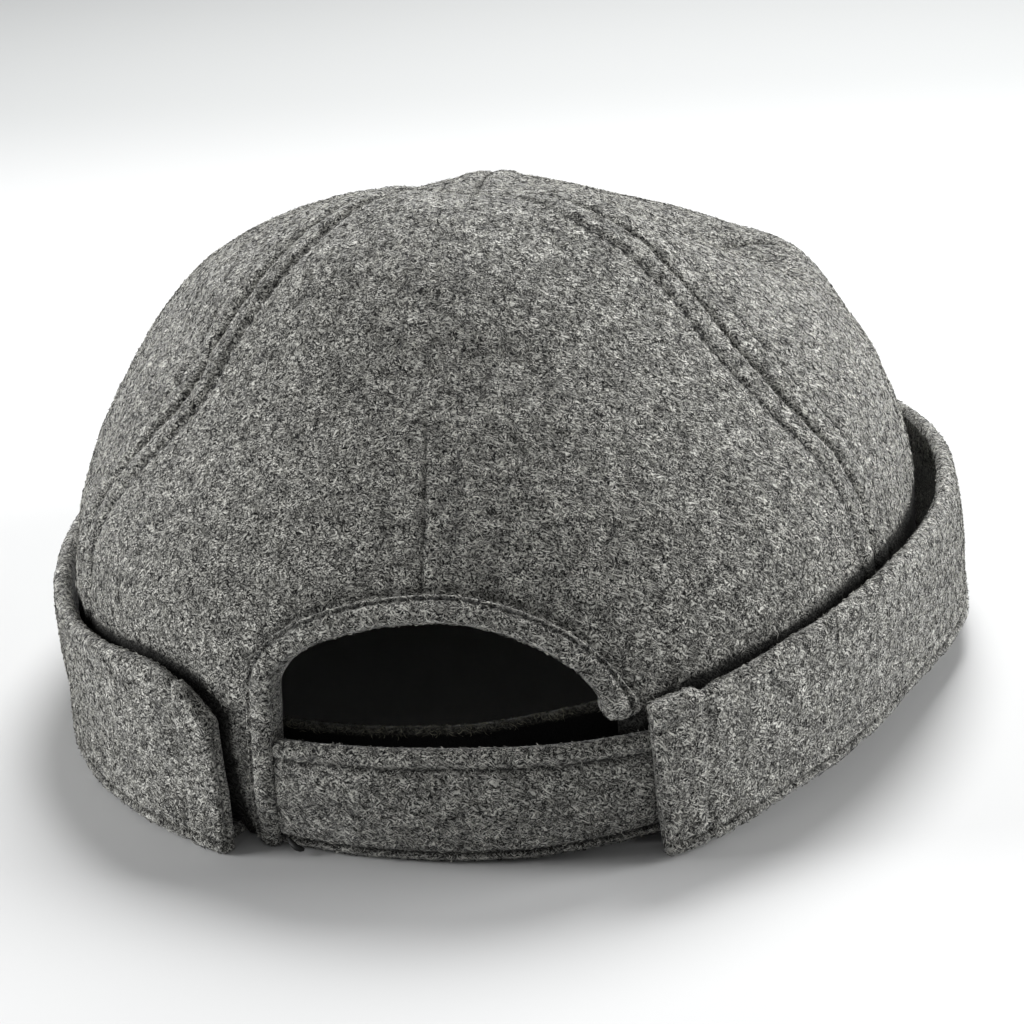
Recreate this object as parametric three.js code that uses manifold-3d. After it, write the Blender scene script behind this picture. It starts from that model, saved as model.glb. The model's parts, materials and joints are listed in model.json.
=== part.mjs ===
// Breton cap of grey wool cloth: a brimless crown of six sewn panels, a deep cuff turned up
// round it, a half-moon opening at the back with a bound edge, and a sewn two-layer strap
// across the foot of the opening. Millimetres, +Z up. The front of the head faces -Y, the
// back opening faces +Y, and the wearer's right side is -X.

import * as THREE from 'three';
import { mergeVertices } from 'three/addons/utils/BufferGeometryUtils.js';
import Module from 'manifold-3d';

const wasm = await Module();
wasm.setup();

// Cloth and clearances
const CLOTH = 2.5;
const CUFF_THICKNESS = 4.0;
const STRAP_THICKNESS = 2.2;
const INNER_STRAP_THICKNESS = 1.6;
const BINDING_THICKNESS = 1.4;
const CLEARANCE = 0.3;
const HEM_HEIGHT = 0.4;

// Crown, outer face. Each row is one level: its height, where its middle stands (x towards the
// wearer's left, y towards the back), how far the cloth stands from that middle on the
// wearer's left, right, back and front, and the power of its outline, which is an ellipse at 2
// and squarer above it.
const CROWN_ROWS = [
  { height: 0, x: 0, y: 0, left: 84, right: 81, back: 98, front: 98, power: 2.15 },
  { height: 15, x: 0, y: 0, left: 88, right: 85, back: 101.5, front: 102, power: 2.15 },
  { height: 30, x: 0, y: 0, left: 89, right: 86, back: 101, front: 104, power: 2.15 },
  { height: 44, x: 0, y: 0, left: 87, right: 84, back: 98, front: 101, power: 2.15 },
  { height: 58, x: 0, y: 0, left: 82, right: 79.5, back: 90, front: 94, power: 2 },
  { height: 71, x: 1, y: -1, left: 73.5, right: 72, back: 80, front: 83, power: 1.85 },
  { height: 82, x: 3, y: -2, left: 63, right: 62.5, back: 69, front: 67, power: 1.8 },
  { height: 90, x: 4, y: 2, left: 52.5, right: 48, back: 56, front: 48, power: 1.85 },
  { height: 96, x: 5, y: 5, left: 38.5, right: 30.5, back: 41, front: 28, power: 2 },
  { height: 99.5, x: 5, y: 4, left: 20, right: 16, back: 24, front: 14, power: 2 },
  { height: 100, x: 5, y: 3, left: 0, right: 0, back: 0, front: 0, power: 2 },
];

// Dents and swells of the soft crown: the middle of each on the smooth crown, its reach, and
// how far it pushes the cloth along X, Y and Z
const DENTS = [
  { x: 12, y: 27, z: 97, reach: 27, push: [0, 0, 7.5] },
  { x: -26, y: 17, z: 95, reach: 17, push: [-1, 0, 4.5] },
  { x: 2, y: -4, z: 99, reach: 16, push: [0, 0, -6] },
  { x: -35, y: -17, z: 90, reach: 16, push: [0, 0, -7.5] },
  { x: -52, y: -22, z: 84, reach: 14, push: [1, 0, -6.5] },
  { x: 4, y: -42, z: 93, reach: 16, push: [0, 0, 3] },
  { x: -60, y: -40, z: 76, reach: 16, push: [-3, 0, 3] },
];

// The six seams, each as its angles at five ways up, from the hem at 0 to the top at 1. Each
// panel lies between its own seam and the next one.
const SEAM_WAYS = [0, 0.3, 0.53, 0.75, 1];
const PANELS = [
  { name: 'crown_panel_back_right', seam: [-1.6, -1.8, -0.8, 3.2, 3] },
  { name: 'crown_panel_side_right', seam: [64, 63.5, 57, 66, 70] },
  { name: 'crown_panel_front_right', seam: [120, 120, 118, 118, 118] },
  { name: 'crown_panel_front_left', seam: [180, 180, 180, 180, 180] },
  { name: 'crown_panel_side_left', seam: [240, 240, 242, 242, 240] },
  { name: 'crown_panel_back_left', seam: [298, 299, 311, 312.5, 306] },
];
const PANEL_TIP = 0.992;
const PANEL_COLUMNS = 9;
const PANEL_ROWS = 20;
// Beside each end of the cuff's fold, the hem steps down to the table between these two
// places, counted in splits of the fold.
const HEM_STEP = [1.9, 3.4];

// Cuff. Each row is one place round the cap: its angle, the height of its top edge and of its
// bottom fold, its gap to the crown near the top and near the bottom, and how many degrees
// its top edge is turned against its bottom. Its two ends face each other across the back.
const CUFF_ROWS = [
  { angle: 25.5, top: 30.5, fold: 0.8, gapTop: 3.2, gapFold: 3.2, slant: -1.6 },
  { angle: 30, top: 32, fold: 1.2, gapTop: 3.2, gapFold: 3, slant: -0.6 },
  { angle: 36, top: 33.5, fold: 2, gapTop: 1.8, gapFold: 1.6, slant: 0 },
  { angle: 45, top: 35.2, fold: 3.5, gapTop: 1.2, gapFold: 0.6, slant: 0 },
  { angle: 65, top: 38, fold: 6, gapTop: 2, gapFold: 1.2, slant: 0 },
  { angle: 90, top: 37.5, fold: 6.5, gapTop: 4, gapFold: 8, slant: 0 },
  { angle: 110, top: 36, fold: 6, gapTop: 5, gapFold: 9, slant: 0 },
  { angle: 140, top: 34, fold: 3, gapTop: 4, gapFold: 4, slant: 0 },
  { angle: 165, top: 34, fold: 0, gapTop: 2.4, gapFold: 3, slant: 0 },
  { angle: 190, top: 34, fold: 0, gapTop: 2, gapFold: 3, slant: 0 },
  { angle: 260, top: 34, fold: 0, gapTop: 0.7, gapFold: 2, slant: 0 },
  { angle: 300, top: 32, fold: 0, gapTop: 1, gapFold: 2, slant: 0 },
  { angle: 333, top: 30, fold: 0, gapTop: 1, gapFold: 2, slant: -0.6 },
];
const CUFF_STEP = 4;
// The fold runs in under the crown's hem between these two angles.
const FOLD_FROM = 30;
const FOLD_TO = 331;
const FOLD_REACH = 5.6;
const FOLD_SPLIT = 0.4;
const CUFF_BASE_HEIGHT = 12;
// How far the corners of the top roll and of the fold are drawn in, as shares of their radius
const ROLL_CORNER = 0.7;
const FOLD_CORNER = 0.8;

// Half-moon opening, cut straight through the back of the crown: for each side, its half
// width, how much wider its foot is, the height where the leg turns into the arch, and the
// exponent of that quarter of the arch
const OPENING = {
  left: { halfWidth: 32.7, flare: 1.8, spring: 33, exponent: 2 },
  right: { halfWidth: 31.4, flare: 0, spring: 27.5, exponent: 1.8 },
};
const OPENING_TOP = 48.2;
const OPENING_STEPS = 20;
// The cut runs from this far behind the head's axis, for this depth, and from below the hem.
const CUT_START = 50;
const CUT_DEPTH = 80;
const CUT_FOOT = -5;

// Binding round the opening: a folded strip whose left leg reaches the hem and whose right
// leg stops above the strap
const BINDING_FACE = 3.3;
const BINDING_BACK = 3.0;
const BINDING_EASE = 0.4;
const BINDING_FOOT = 1;
const BINDING_RIGHT_END = 27;
const BINDING_LEG_STEPS = 5;
// The outer corner of its face is cut off by this much, from this share of its thickness up.
const BINDING_BEVEL = 0.8;
const BINDING_EDGE = 0.6;

// Strap across the foot of the opening, and the layer behind it. Each row has an angle, how
// far the strap's outer face stands out from the crown's, and the heights of its bottom and
// top edges. The strap's left end starts beside the binding's left leg.
const STRAP_ROWS = [
  { angle: -21, out: 0.8, bottom: 0.4, top: 23.6 },
  { angle: -9, out: 1.3, bottom: 0.4, top: 24 },
  { angle: 0, out: 1.7, bottom: 0.4, top: 24.2 },
  { angle: 10, out: 2.3, bottom: 0.8, top: 24.2 },
  { angle: 17, out: 2.6, bottom: 1.6, top: 24.2 },
  { angle: 28.6, out: 2.6, bottom: 2.8, top: 24.2 },
];
const INNER_STRAP_ROWS = [
  { angle: -28.5, out: -3.2, bottom: 0.6, top: 24.6 },
  { angle: -26.6, out: -5.3, bottom: 0.6, top: 24.6 },
  { angle: -12, out: -6.6, bottom: 0.6, top: 24.4 },
  { angle: 0, out: -7.6, bottom: 0.6, top: 24.4 },
  { angle: 12, out: -7.4, bottom: 0.8, top: 26 },
  { angle: 25, out: -5, bottom: 1, top: 28 },
  { angle: 28.5, out: -3.2, bottom: 1, top: 28 },
];
const STRAP_STEPS = 16;
const STRAP_LEVELS = 4;

// Finish
const WOOL = { color: 0x6f6e6c, roughness: 0.95, metalness: 0 };
const WOOL_SHADE = { color: 0x5c5b5a, roughness: 0.95, metalness: 0 };
const INNER_CLOTH = { color: 0x1e1b19, roughness: 0.95, metalness: 0 };

// Small steps to both sides of a point, to find the direction of a surface there: in degrees,
// in ways up and in millimetres
const ANGLE_STEP = 0.2;
const WAY_STEP = 0.002;
const PLACE_STEP = 0.2;
// The crown's lower wall reaches this way up, and a height on it is found by so many halvings.
const WALL_WAY = 0.6;
const HALVINGS = 30;

const radians = THREE.MathUtils.degToRad;
const degrees = THREE.MathUtils.radToDeg;
const lerp = THREE.MathUtils.lerp;

// A smooth curve through the rows of a table: the value of one column where the key column
// has the value at. Between two rows it never leaves their range.
function smooth(rows, key, column, at) {
  const last = rows.length - 1;
  let i = 0;
  while (i < last - 1 && at > rows[i + 1][key]) i += 1;
  const rate = (j) => (rows[j + 1][column] - rows[j][column]) / (rows[j + 1][key] - rows[j][key]);
  const slope = (j) => {
    if (j === 0 || j === last) return rate(Math.min(j, last - 1));
    const before = rate(j - 1);
    const after = rate(j);
    return before * after > 0 ? (2 * before * after) / (before + after) : 0;
  };
  const span = rows[i + 1][key] - rows[i][key];
  const u = THREE.MathUtils.clamp((at - rows[i][key]) / span, 0, 1);
  const start = rows[i][column] * (1 + 2 * u) * (1 - u) ** 2;
  const end = rows[i + 1][column] * u ** 2 * (3 - 2 * u);
  const bend = slope(i) * u * (1 - u) ** 2 - slope(i + 1) * u ** 2 * (1 - u);
  return start + end + bend * span;
}

// The way up a panel is measured along the cloth, from 0 at the hem to 1 at the top.
function measureWay(rows) {
  const reach = (row) => (row.left + row.right + row.back + row.front) / 4;
  let length = 0;
  rows.forEach((row, i) => {
    const below = rows[Math.max(i - 1, 0)];
    length += Math.hypot(row.height - below.height, reach(row) - reach(below));
    row.way = length;
  });
  for (const row of rows) row.way /= length;
}
measureWay(CROWN_ROWS);

// A point on the crown's outer face
function crownPoint(angle, way) {
  const value = (column) => smooth(CROWN_ROWS, 'way', column, way);
  const sine = Math.sin(radians(angle));
  const cosine = Math.cos(radians(angle));
  const power = value('power');
  const plan = (Math.abs(sine) ** power + Math.abs(cosine) ** power) ** (-1 / power);
  const width = value(sine > 0 ? 'right' : 'left');
  const length = value(cosine > 0 ? 'back' : 'front');
  const point = new THREE.Vector3(
    value('x') - sine * plan * width, value('y') + cosine * plan * length, value('height'));
  const pressed = point.clone();
  for (const dent of DENTS) {
    const distance = point.distanceTo(new THREE.Vector3(dent.x, dent.y, dent.z));
    const share = Math.exp(-((distance / dent.reach) ** 2));
    pressed.addScaledVector(new THREE.Vector3(...dent.push), share);
  }
  return pressed;
}

// The crown's outward direction, square to its face
function crownNormal(angle, way) {
  const across = crownPoint(angle + ANGLE_STEP, way).sub(crownPoint(angle - ANGLE_STEP, way));
  const up = crownPoint(angle, Math.min(way + WAY_STEP, 1)).sub(crownPoint(angle, way - WAY_STEP));
  return across.cross(up).normalize();
}

// The way up at a given height on the lower wall, found by halving
function wayAtHeight(height) {
  let low = 0;
  let high = WALL_WAY;
  for (let i = 0; i < HALVINGS; i += 1) {
    const middle = (low + high) / 2;
    if (smooth(CROWN_ROWS, 'way', 'height', middle) < height) low = middle;
    else high = middle;
  }
  return (low + high) / 2;
}

// A point beside the crown: out from its face, level, at a given height
function besideCrown(angle, out, height) {
  const point = crownPoint(angle, wayAtHeight(height));
  const outward = new THREE.Vector3(-Math.sin(radians(angle)), Math.cos(radians(angle)), 0);
  return point.addScaledVector(outward, out);
}

// A closed body from its points and triangles, turned so that its faces point out
function closedBody(points, triangles) {
  let volume = 0;
  for (const [a, b, c] of triangles) {
    volume += points[a].dot(new THREE.Vector3().crossVectors(points[b], points[c]));
  }
  const turned = volume < 0 ? triangles.map(([a, b, c]) => [a, c, b]) : triangles;
  const geometry = new THREE.BufferGeometry();
  geometry.setAttribute('position', new THREE.Float32BufferAttribute(
    points.flatMap((point) => point.toArray()), 3));
  geometry.setIndex(turned.flat());
  return geometry;
}

// A wall between two grids of points, outer[column][row] and inner[column][row]
function wall(outer, inner) {
  const columns = outer.length;
  const rows = outer[0].length;
  const points = [...outer.flat(), ...inner.flat()];
  const face = (column, row) => column * rows + row;
  const back = (column, row) => columns * rows + face(column, row);
  const triangles = [];
  const quad = (a, b, c, d) => triangles.push([a, b, c], [a, c, d]);
  for (let i = 0; i < columns - 1; i += 1) {
    for (let j = 0; j < rows - 1; j += 1) {
      quad(face(i, j), face(i + 1, j), face(i + 1, j + 1), face(i, j + 1));
      quad(back(i, j), back(i, j + 1), back(i + 1, j + 1), back(i + 1, j));
    }
    quad(face(i, 0), back(i, 0), back(i + 1, 0), face(i + 1, 0));
    quad(face(i, rows - 1), face(i + 1, rows - 1), back(i + 1, rows - 1), back(i, rows - 1));
  }
  for (let j = 0; j < rows - 1; j += 1) {
    quad(face(0, j), face(0, j + 1), back(0, j + 1), back(0, j));
    const end = columns - 1;
    quad(face(end, j), back(end, j), back(end, j + 1), face(end, j + 1));
  }
  return closedBody(points, triangles);
}

// A bar whose closed section changes from station to station. sections[i] is a list of
// Vector2, and place(i, corner) sets a corner in space.
function sweep(sections, place) {
  const corners = sections[0].length;
  const points = sections.flatMap((section, i) => section.map((corner) => place(i, corner)));
  const triangles = [];
  for (let i = 0; i < sections.length - 1; i += 1) {
    for (let j = 0; j < corners; j += 1) {
      const next = (j + 1) % corners;
      const a = i * corners + j;
      const b = i * corners + next;
      triangles.push([a, b, b + corners], [a, b + corners, a + corners]);
    }
  }
  const addEnd = (station, flip) => {
    for (const [a, b, c] of THREE.ShapeUtils.triangulateShape(sections[station], [])) {
      const end = station * corners;
      triangles.push(flip ? [end + a, end + c, end + b] : [end + a, end + b, end + c]);
    }
  };
  const firstIsClockwise = THREE.ShapeUtils.isClockWise(sections[0]);
  addEnd(0, !firstIsClockwise);
  addEnd(sections.length - 1, firstIsClockwise);
  return closedBody(points, triangles);
}

// Solids of manifold-3d, for the one cut
function toManifold(geometry) {
  return new wasm.Manifold(new wasm.Mesh({
    numProp: 3,
    vertProperties: new Float32Array(geometry.attributes.position.array),
    triVerts: new Uint32Array(geometry.index.array),
  }));
}

function fromManifold(manifold) {
  const mesh = manifold.getMesh();
  const geometry = new THREE.BufferGeometry();
  geometry.setAttribute('position', new THREE.BufferAttribute(mesh.vertProperties, 3));
  geometry.setIndex(new THREE.BufferAttribute(mesh.triVerts, 1));
  return geometry;
}

// The height of the crown's hem: it stands on the cuff's fold, and reaches down to the
// table between the cuff's ends
function hemHeight(angle) {
  const onFold = angle > FOLD_FROM - 2 * FOLD_SPLIT && angle < FOLD_TO + 2 * FOLD_SPLIT;
  if (!onFold) return HEM_HEIGHT;
  return smooth(CUFF_ROWS, 'angle', 'fold', angle) + CLOTH + CLEARANCE;
}

// Every seam as a table of rows, with the first one again a whole turn on
const seamRows = (angles) => angles.map((angle, i) => ({ way: SEAM_WAYS[i], angle }));
const SEAMS = PANELS.map((panel) => seamRows(panel.seam));
SEAMS.push(seamRows(PANELS[0].seam.map((angle) => angle + 360)));

// The columns of a panel, with two more where its hem steps down beside the cuff's fold
function panelColumns(from, to) {
  const even = Array.from({ length: PANEL_COLUMNS + 1 }, (_, i) => lerp(from, to, i / PANEL_COLUMNS));
  const steps = [FOLD_FROM, FOLD_TO].flatMap((step) => {
    const side = step === FOLD_FROM ? -1 : 1;
    return HEM_STEP.map((splits) => step + side * splits * FOLD_SPLIT);
  });
  const inside = steps.filter((angle) => angle > from && angle < to);
  return [...even, ...inside].sort((a, b) => a - b).map((angle) => (angle - from) / (to - from));
}

// One panel of the crown: a curved wall of cloth between two seams, drawn to a tip at the top
function crownPanel(index) {
  const seamAngle = (seam, way) => smooth(SEAMS[seam], 'way', 'angle', way);
  const firstHem = seamAngle(index, 0);
  const lastHem = seamAngle(index + 1, 0);
  const outer = [];
  const inner = [];
  for (const share of panelColumns(firstHem, lastHem)) {
    const hemWay = wayAtHeight(hemHeight(lerp(firstHem, lastHem, share)));
    const faceColumn = [];
    const backColumn = [];
    for (let row = 0; row <= PANEL_ROWS; row += 1) {
      const way = lerp(hemWay, PANEL_TIP, row / PANEL_ROWS);
      const from = seamAngle(index, way);
      const to = seamAngle(index + 1, way);
      const middle = crownPoint((from + to) / 2, way);
      const radius = Math.hypot(middle.x - smooth(CROWN_ROWS, 'way', 'x', way),
        middle.y - smooth(CROWN_ROWS, 'way', 'y', way));
      const inset = degrees(Math.asin(CLEARANCE / 2 / radius));
      const angle = lerp(from + inset, to - inset, share);
      const point = crownPoint(angle, way);
      faceColumn.push(point);
      backColumn.push(point.clone().addScaledVector(crownNormal(angle, way), -CLOTH));
    }
    outer.push(faceColumn);
    inner.push(backColumn);
  }
  return wall(outer, inner);
}

// How far the opening's left or right edge stands from the back centre at a height on its leg
function openingEdge(side, height) {
  const { halfWidth, flare, spring } = OPENING[side];
  return halfWidth + flare * (1 - height / spring);
}

// The outline of the half-moon, from its left foot over the top to its right foot
function openingOutline(leftFoot, rightFoot, legSteps) {
  const outline = [];
  for (let i = 0; i < legSteps; i += 1) {
    const height = lerp(leftFoot, OPENING.left.spring, i / legSteps);
    outline.push(new THREE.Vector2(openingEdge('left', height), height));
  }
  for (let i = 0; i <= OPENING_STEPS; i += 1) {
    const turn = Math.PI * i / OPENING_STEPS;
    const along = Math.cos(turn);
    const { halfWidth, spring, exponent } = OPENING[along > 0 ? 'left' : 'right'];
    const rise = Math.sin(turn);
    const stretch = (Math.abs(along) ** exponent + rise ** exponent) ** (-1 / exponent);
    outline.push(new THREE.Vector2(halfWidth * along * stretch,
      spring + (OPENING_TOP - spring) * rise * stretch));
  }
  outline.push(new THREE.Vector2(-openingEdge('right', rightFoot), rightFoot));
  return outline;
}

// What is cut away for the opening: the half-moon, drawn out through the back of the crown
function openingCut() {
  const outline = new THREE.Shape(openingOutline(CUT_FOOT, CUT_FOOT, 1));
  const cut = new THREE.ExtrudeGeometry(outline, { depth: CUT_DEPTH, bevelEnabled: false });
  cut.rotateX(Math.PI / 2);
  cut.translate(0, CUT_START + CUT_DEPTH, 0);
  cut.deleteAttribute('normal');
  cut.deleteAttribute('uv');
  return toManifold(mergeVertices(cut));
}

// The cuff: a double wall of cloth, rounded at its top edge, whose bottom fold runs in under
// the crown's hem
function cuffSection(angle) {
  const value = (column) => smooth(CUFF_ROWS, 'angle', column, angle);
  const top = value('top');
  const fold = value('fold');
  const gap = (height) => lerp(value('gapFold'), value('gapTop'), (height - fold) / (top - fold));
  const round = CUFF_THICKNESS / 2;
  const third = (top - fold) / 3;
  const underHem = angle > FOLD_FROM && angle < FOLD_TO;
  const reach = underHem ? -FOLD_REACH : gap(fold);
  const edge = underHem ? CLOTH : CLOTH / 2;
  const inside = (height) => [gap(height), height];
  const outside = (height) => [gap(height) + CUFF_THICKNESS, height];
  const corners = [
    [gap(top) + round, top],
    outside(top - ROLL_CORNER * round),
    outside(fold + 2 * third),
    outside(fold + third),
    outside(fold + round),
    [gap(fold) + CUFF_THICKNESS - FOLD_CORNER * round, fold],
    [reach, fold],
    [reach, fold + edge],
    inside(fold + CLOTH),
    inside(fold + third),
    inside(fold + 2 * third),
    inside(top - ROLL_CORNER * round),
  ];
  return corners.map(([out, height]) => new THREE.Vector2(out, height));
}

function cuff() {
  const first = CUFF_ROWS[0].angle;
  const last = CUFF_ROWS[CUFF_ROWS.length - 1].angle;
  const steps = Math.round((last - first) / CUFF_STEP);
  const even = Array.from({ length: steps + 1 }, (_, i) => lerp(first, last, i / steps));
  const edges = [FOLD_FROM, FOLD_TO].flatMap((edge) => [edge - FOLD_SPLIT / 2, edge + FOLD_SPLIT / 2]);
  const angles = [...even, ...edges].sort((a, b) => a - b);
  const place = (i, corner) => {
    const slant = smooth(CUFF_ROWS, 'angle', 'slant', angles[i]);
    const angle = angles[i] + slant * corner.y / CUFF_ROWS[0].top;
    const point = besideCrown(angle, corner.x, Math.max(corner.y, CUFF_BASE_HEIGHT));
    point.z = corner.y;
    return point;
  };
  return sweep(angles.map(cuffSection), place);
}

// How far a place across the crown's back lies from its middle, and how far back its face is
// there at a height, both as shares of that level's width and length
function backShare(across, height) {
  const value = (column) => smooth(CROWN_ROWS, 'way', column, wayAtHeight(height));
  const side = across / value(across < 0 ? 'right' : 'left');
  const power = value('power');
  return { side, back: (1 - Math.abs(side) ** power) ** (1 / power) };
}

// The point of the crown's face at a place across its back and a height
function backPoint(across, height) {
  const depth = smooth(CROWN_ROWS, 'way', 'back', wayAtHeight(height));
  return new THREE.Vector3(across, depth * backShare(across, height).back, height);
}

// The angle of a place across the back of the crown
function angleAcross(across, height) {
  const { side, back } = backShare(across, height);
  return degrees(Math.atan2(-side, back));
}

// The binding: a strip folded over the cut edge of the cloth, with a face outside and a
// narrower back inside
function binding() {
  const path = openingOutline(BINDING_FOOT, BINDING_RIGHT_END, BINDING_LEG_STEPS);
  const spine = path.map((spot) => backPoint(spot.x, spot.y));
  const gap = CLEARANCE;
  const thick = BINDING_THICKNESS;
  const back = -CLOTH - gap - BINDING_EASE;
  const section = [
    [BINDING_FACE, gap], [BINDING_FACE, gap + BINDING_EDGE * thick],
    [BINDING_FACE - BINDING_BEVEL, gap + thick],
    [0, gap + thick], [-gap - thick, gap], [-gap - thick, back],
    [0, back - thick], [BINDING_BACK, back - thick], [BINDING_BACK, back],
    [-gap, back], [-gap, gap],
  ].map(([away, out]) => new THREE.Vector2(away, out));
  const place = (i, corner) => {
    const { x, y } = path[i];
    const across = backPoint(x + PLACE_STEP, y).sub(backPoint(x - PLACE_STEP, y));
    const up = backPoint(x, y + PLACE_STEP).sub(backPoint(x, y - PLACE_STEP));
    const outward = up.cross(across).normalize();
    outward.multiplyScalar(Math.sign(outward.y));
    const along = spine[Math.min(i + 1, spine.length - 1)].clone().sub(spine[Math.max(i - 1, 0)]);
    const away = new THREE.Vector3().crossVectors(outward, along).normalize();
    return spine[i].clone().addScaledVector(away, corner.x).addScaledVector(outward, corner.y);
  };
  return sweep(path.map(() => section), place);
}

// A strap: a curved band following a table of rows. firstAngle(height) says where its left
// end is.
function strap(rows, thickness, firstAngle) {
  const outer = [];
  const inner = [];
  const last = rows[rows.length - 1].angle;
  for (let i = 0; i <= STRAP_STEPS; i += 1) {
    const share = i / STRAP_STEPS;
    const middle = lerp(rows[0].angle, last, share);
    const bottom = smooth(rows, 'angle', 'bottom', middle);
    const top = smooth(rows, 'angle', 'top', middle);
    const faceColumn = [];
    const backColumn = [];
    for (let j = 0; j <= STRAP_LEVELS; j += 1) {
      const height = lerp(bottom, top, j / STRAP_LEVELS);
      const angle = lerp(firstAngle(height), last, share);
      const out = smooth(rows, 'angle', 'out', angle);
      faceColumn.push(besideCrown(angle, out, height));
      backColumn.push(besideCrown(angle, out - thickness, height));
    }
    outer.push(faceColumn);
    inner.push(backColumn);
  }
  return wall(outer, inner);
}

function strapOuter() {
  const setBack = BINDING_THICKNESS + 2 * CLEARANCE;
  return strap(STRAP_ROWS, STRAP_THICKNESS,
    (height) => angleAcross(openingEdge('left', height) - setBack, height));
}

function strapInner() {
  return strap(INNER_STRAP_ROWS, INNER_STRAP_THICKNESS, () => INNER_STRAP_ROWS[0].angle);
}

// One named piece of the cap, with its own material
function addPiece(group, name, geometry, finish) {
  geometry.computeVertexNormals();
  const piece = new THREE.Mesh(geometry, new THREE.MeshStandardMaterial(finish));
  piece.name = name;
  group.add(piece);
}

const cap = new THREE.Group();
const cut = openingCut();
PANELS.forEach((panel, index) => {
  const whole = crownPanel(index);
  const touchesOpening = panel.name.startsWith('crown_panel_back');
  const cloth = touchesOpening ? fromManifold(toManifold(whole).subtract(cut)) : whole;
  addPiece(cap, panel.name, cloth, WOOL);
});
addPiece(cap, 'cuff', cuff(), WOOL);
addPiece(cap, 'opening_binding', binding(), WOOL);
addPiece(cap, 'strap_outer', strapOuter(), WOOL_SHADE);
addPiece(cap, 'strap_inner', strapInner(), INNER_CLOTH);

// The origin is the middle of the cap's outline, on the surface that it lies on.
const middle = new THREE.Box3().setFromObject(cap, true).getCenter(new THREE.Vector3());
cap.position.set(-middle.x, -middle.y, 0);

export default cap;
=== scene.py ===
# %% [markdown]
# # A breton cap of grey melton wool
# This cap has no brim. Six wedge-shaped panels are sewn into a soft round crown, a deep cuff of
# doubled cloth is turned up round it, and a half-moon opening at the back is closed at its foot
# by a sewn strap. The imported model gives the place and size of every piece, and this lesson
# gives each one its cloth: the real thickness, the puckered seams, the stitches and the nap.

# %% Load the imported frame
import json
import math

import bmesh
import bpy
import numpy as np
from mathutils import Matrix, Vector, noise

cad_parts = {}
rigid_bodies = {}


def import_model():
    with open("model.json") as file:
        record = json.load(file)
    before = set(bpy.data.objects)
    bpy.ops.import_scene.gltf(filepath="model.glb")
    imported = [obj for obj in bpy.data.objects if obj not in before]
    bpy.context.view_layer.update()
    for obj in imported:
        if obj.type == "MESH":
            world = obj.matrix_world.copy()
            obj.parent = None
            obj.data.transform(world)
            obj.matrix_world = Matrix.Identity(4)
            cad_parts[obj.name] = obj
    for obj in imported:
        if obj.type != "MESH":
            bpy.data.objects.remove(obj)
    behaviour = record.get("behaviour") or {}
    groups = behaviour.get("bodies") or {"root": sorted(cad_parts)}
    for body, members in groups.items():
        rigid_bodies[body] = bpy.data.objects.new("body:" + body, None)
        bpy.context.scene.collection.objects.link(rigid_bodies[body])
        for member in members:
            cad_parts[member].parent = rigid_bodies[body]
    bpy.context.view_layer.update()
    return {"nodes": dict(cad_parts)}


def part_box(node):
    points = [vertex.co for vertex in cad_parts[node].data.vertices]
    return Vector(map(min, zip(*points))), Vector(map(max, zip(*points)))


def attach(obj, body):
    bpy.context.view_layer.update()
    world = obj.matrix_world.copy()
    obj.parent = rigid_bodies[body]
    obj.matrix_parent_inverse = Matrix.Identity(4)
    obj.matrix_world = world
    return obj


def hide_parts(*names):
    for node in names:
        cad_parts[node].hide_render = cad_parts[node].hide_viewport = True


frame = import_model()
scene = bpy.context.scene
print("nodes to dress:", sorted(frame["nodes"]))

# %% [markdown]
# ## Working in millimetres
# A sewn thing is measured in millimetres, and Blender works in metres, so every table and every
# shape below is in millimetres and is scaled once, when its mesh is made. The cap's front faces
# -Y, its back opening faces +Y, and the wearer's right side is -X. An angle is counted from the
# middle of the back towards the wearer's right.

# %% Sizes of the cloth
MM = 0.001
CLOTH = 2.5
CUFF_THICKNESS = 4.0
STRAP_THICKNESS = 2.2
INNER_STRAP_THICKNESS = 1.6
BINDING_THICKNESS = 1.4
CLEARANCE = 0.3
HEM_HEIGHT = 0.4


def table(columns, rows):
    """A table as a list of rows, each with its named columns."""
    return [dict(zip(columns.split(), row)) for row in rows]


print(f"crown cloth {CLOTH} mm, doubled cuff {CUFF_THICKNESS} mm, strap {STRAP_THICKNESS} mm")

# %% [markdown]
# ## The shape of the crown
# A soft crown has no simple formula, so it is written down as levels: at each height the table
# says where the middle of the crown stands, how far the cloth is from it on four sides, and the
# power of the outline, which is an ellipse at 2 and squarer above it. A smooth curve through
# the rows gives every level between them. The curve never leaves the range of its two
# neighbouring rows, so it can't wobble. The crown has slumped: a crest stands across its back,
# the middle has sunk in behind it, and a lower bump lies farther on. Each of these is a dent,
# which pushes the cloth most at its own middle and fades out with distance.

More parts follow.
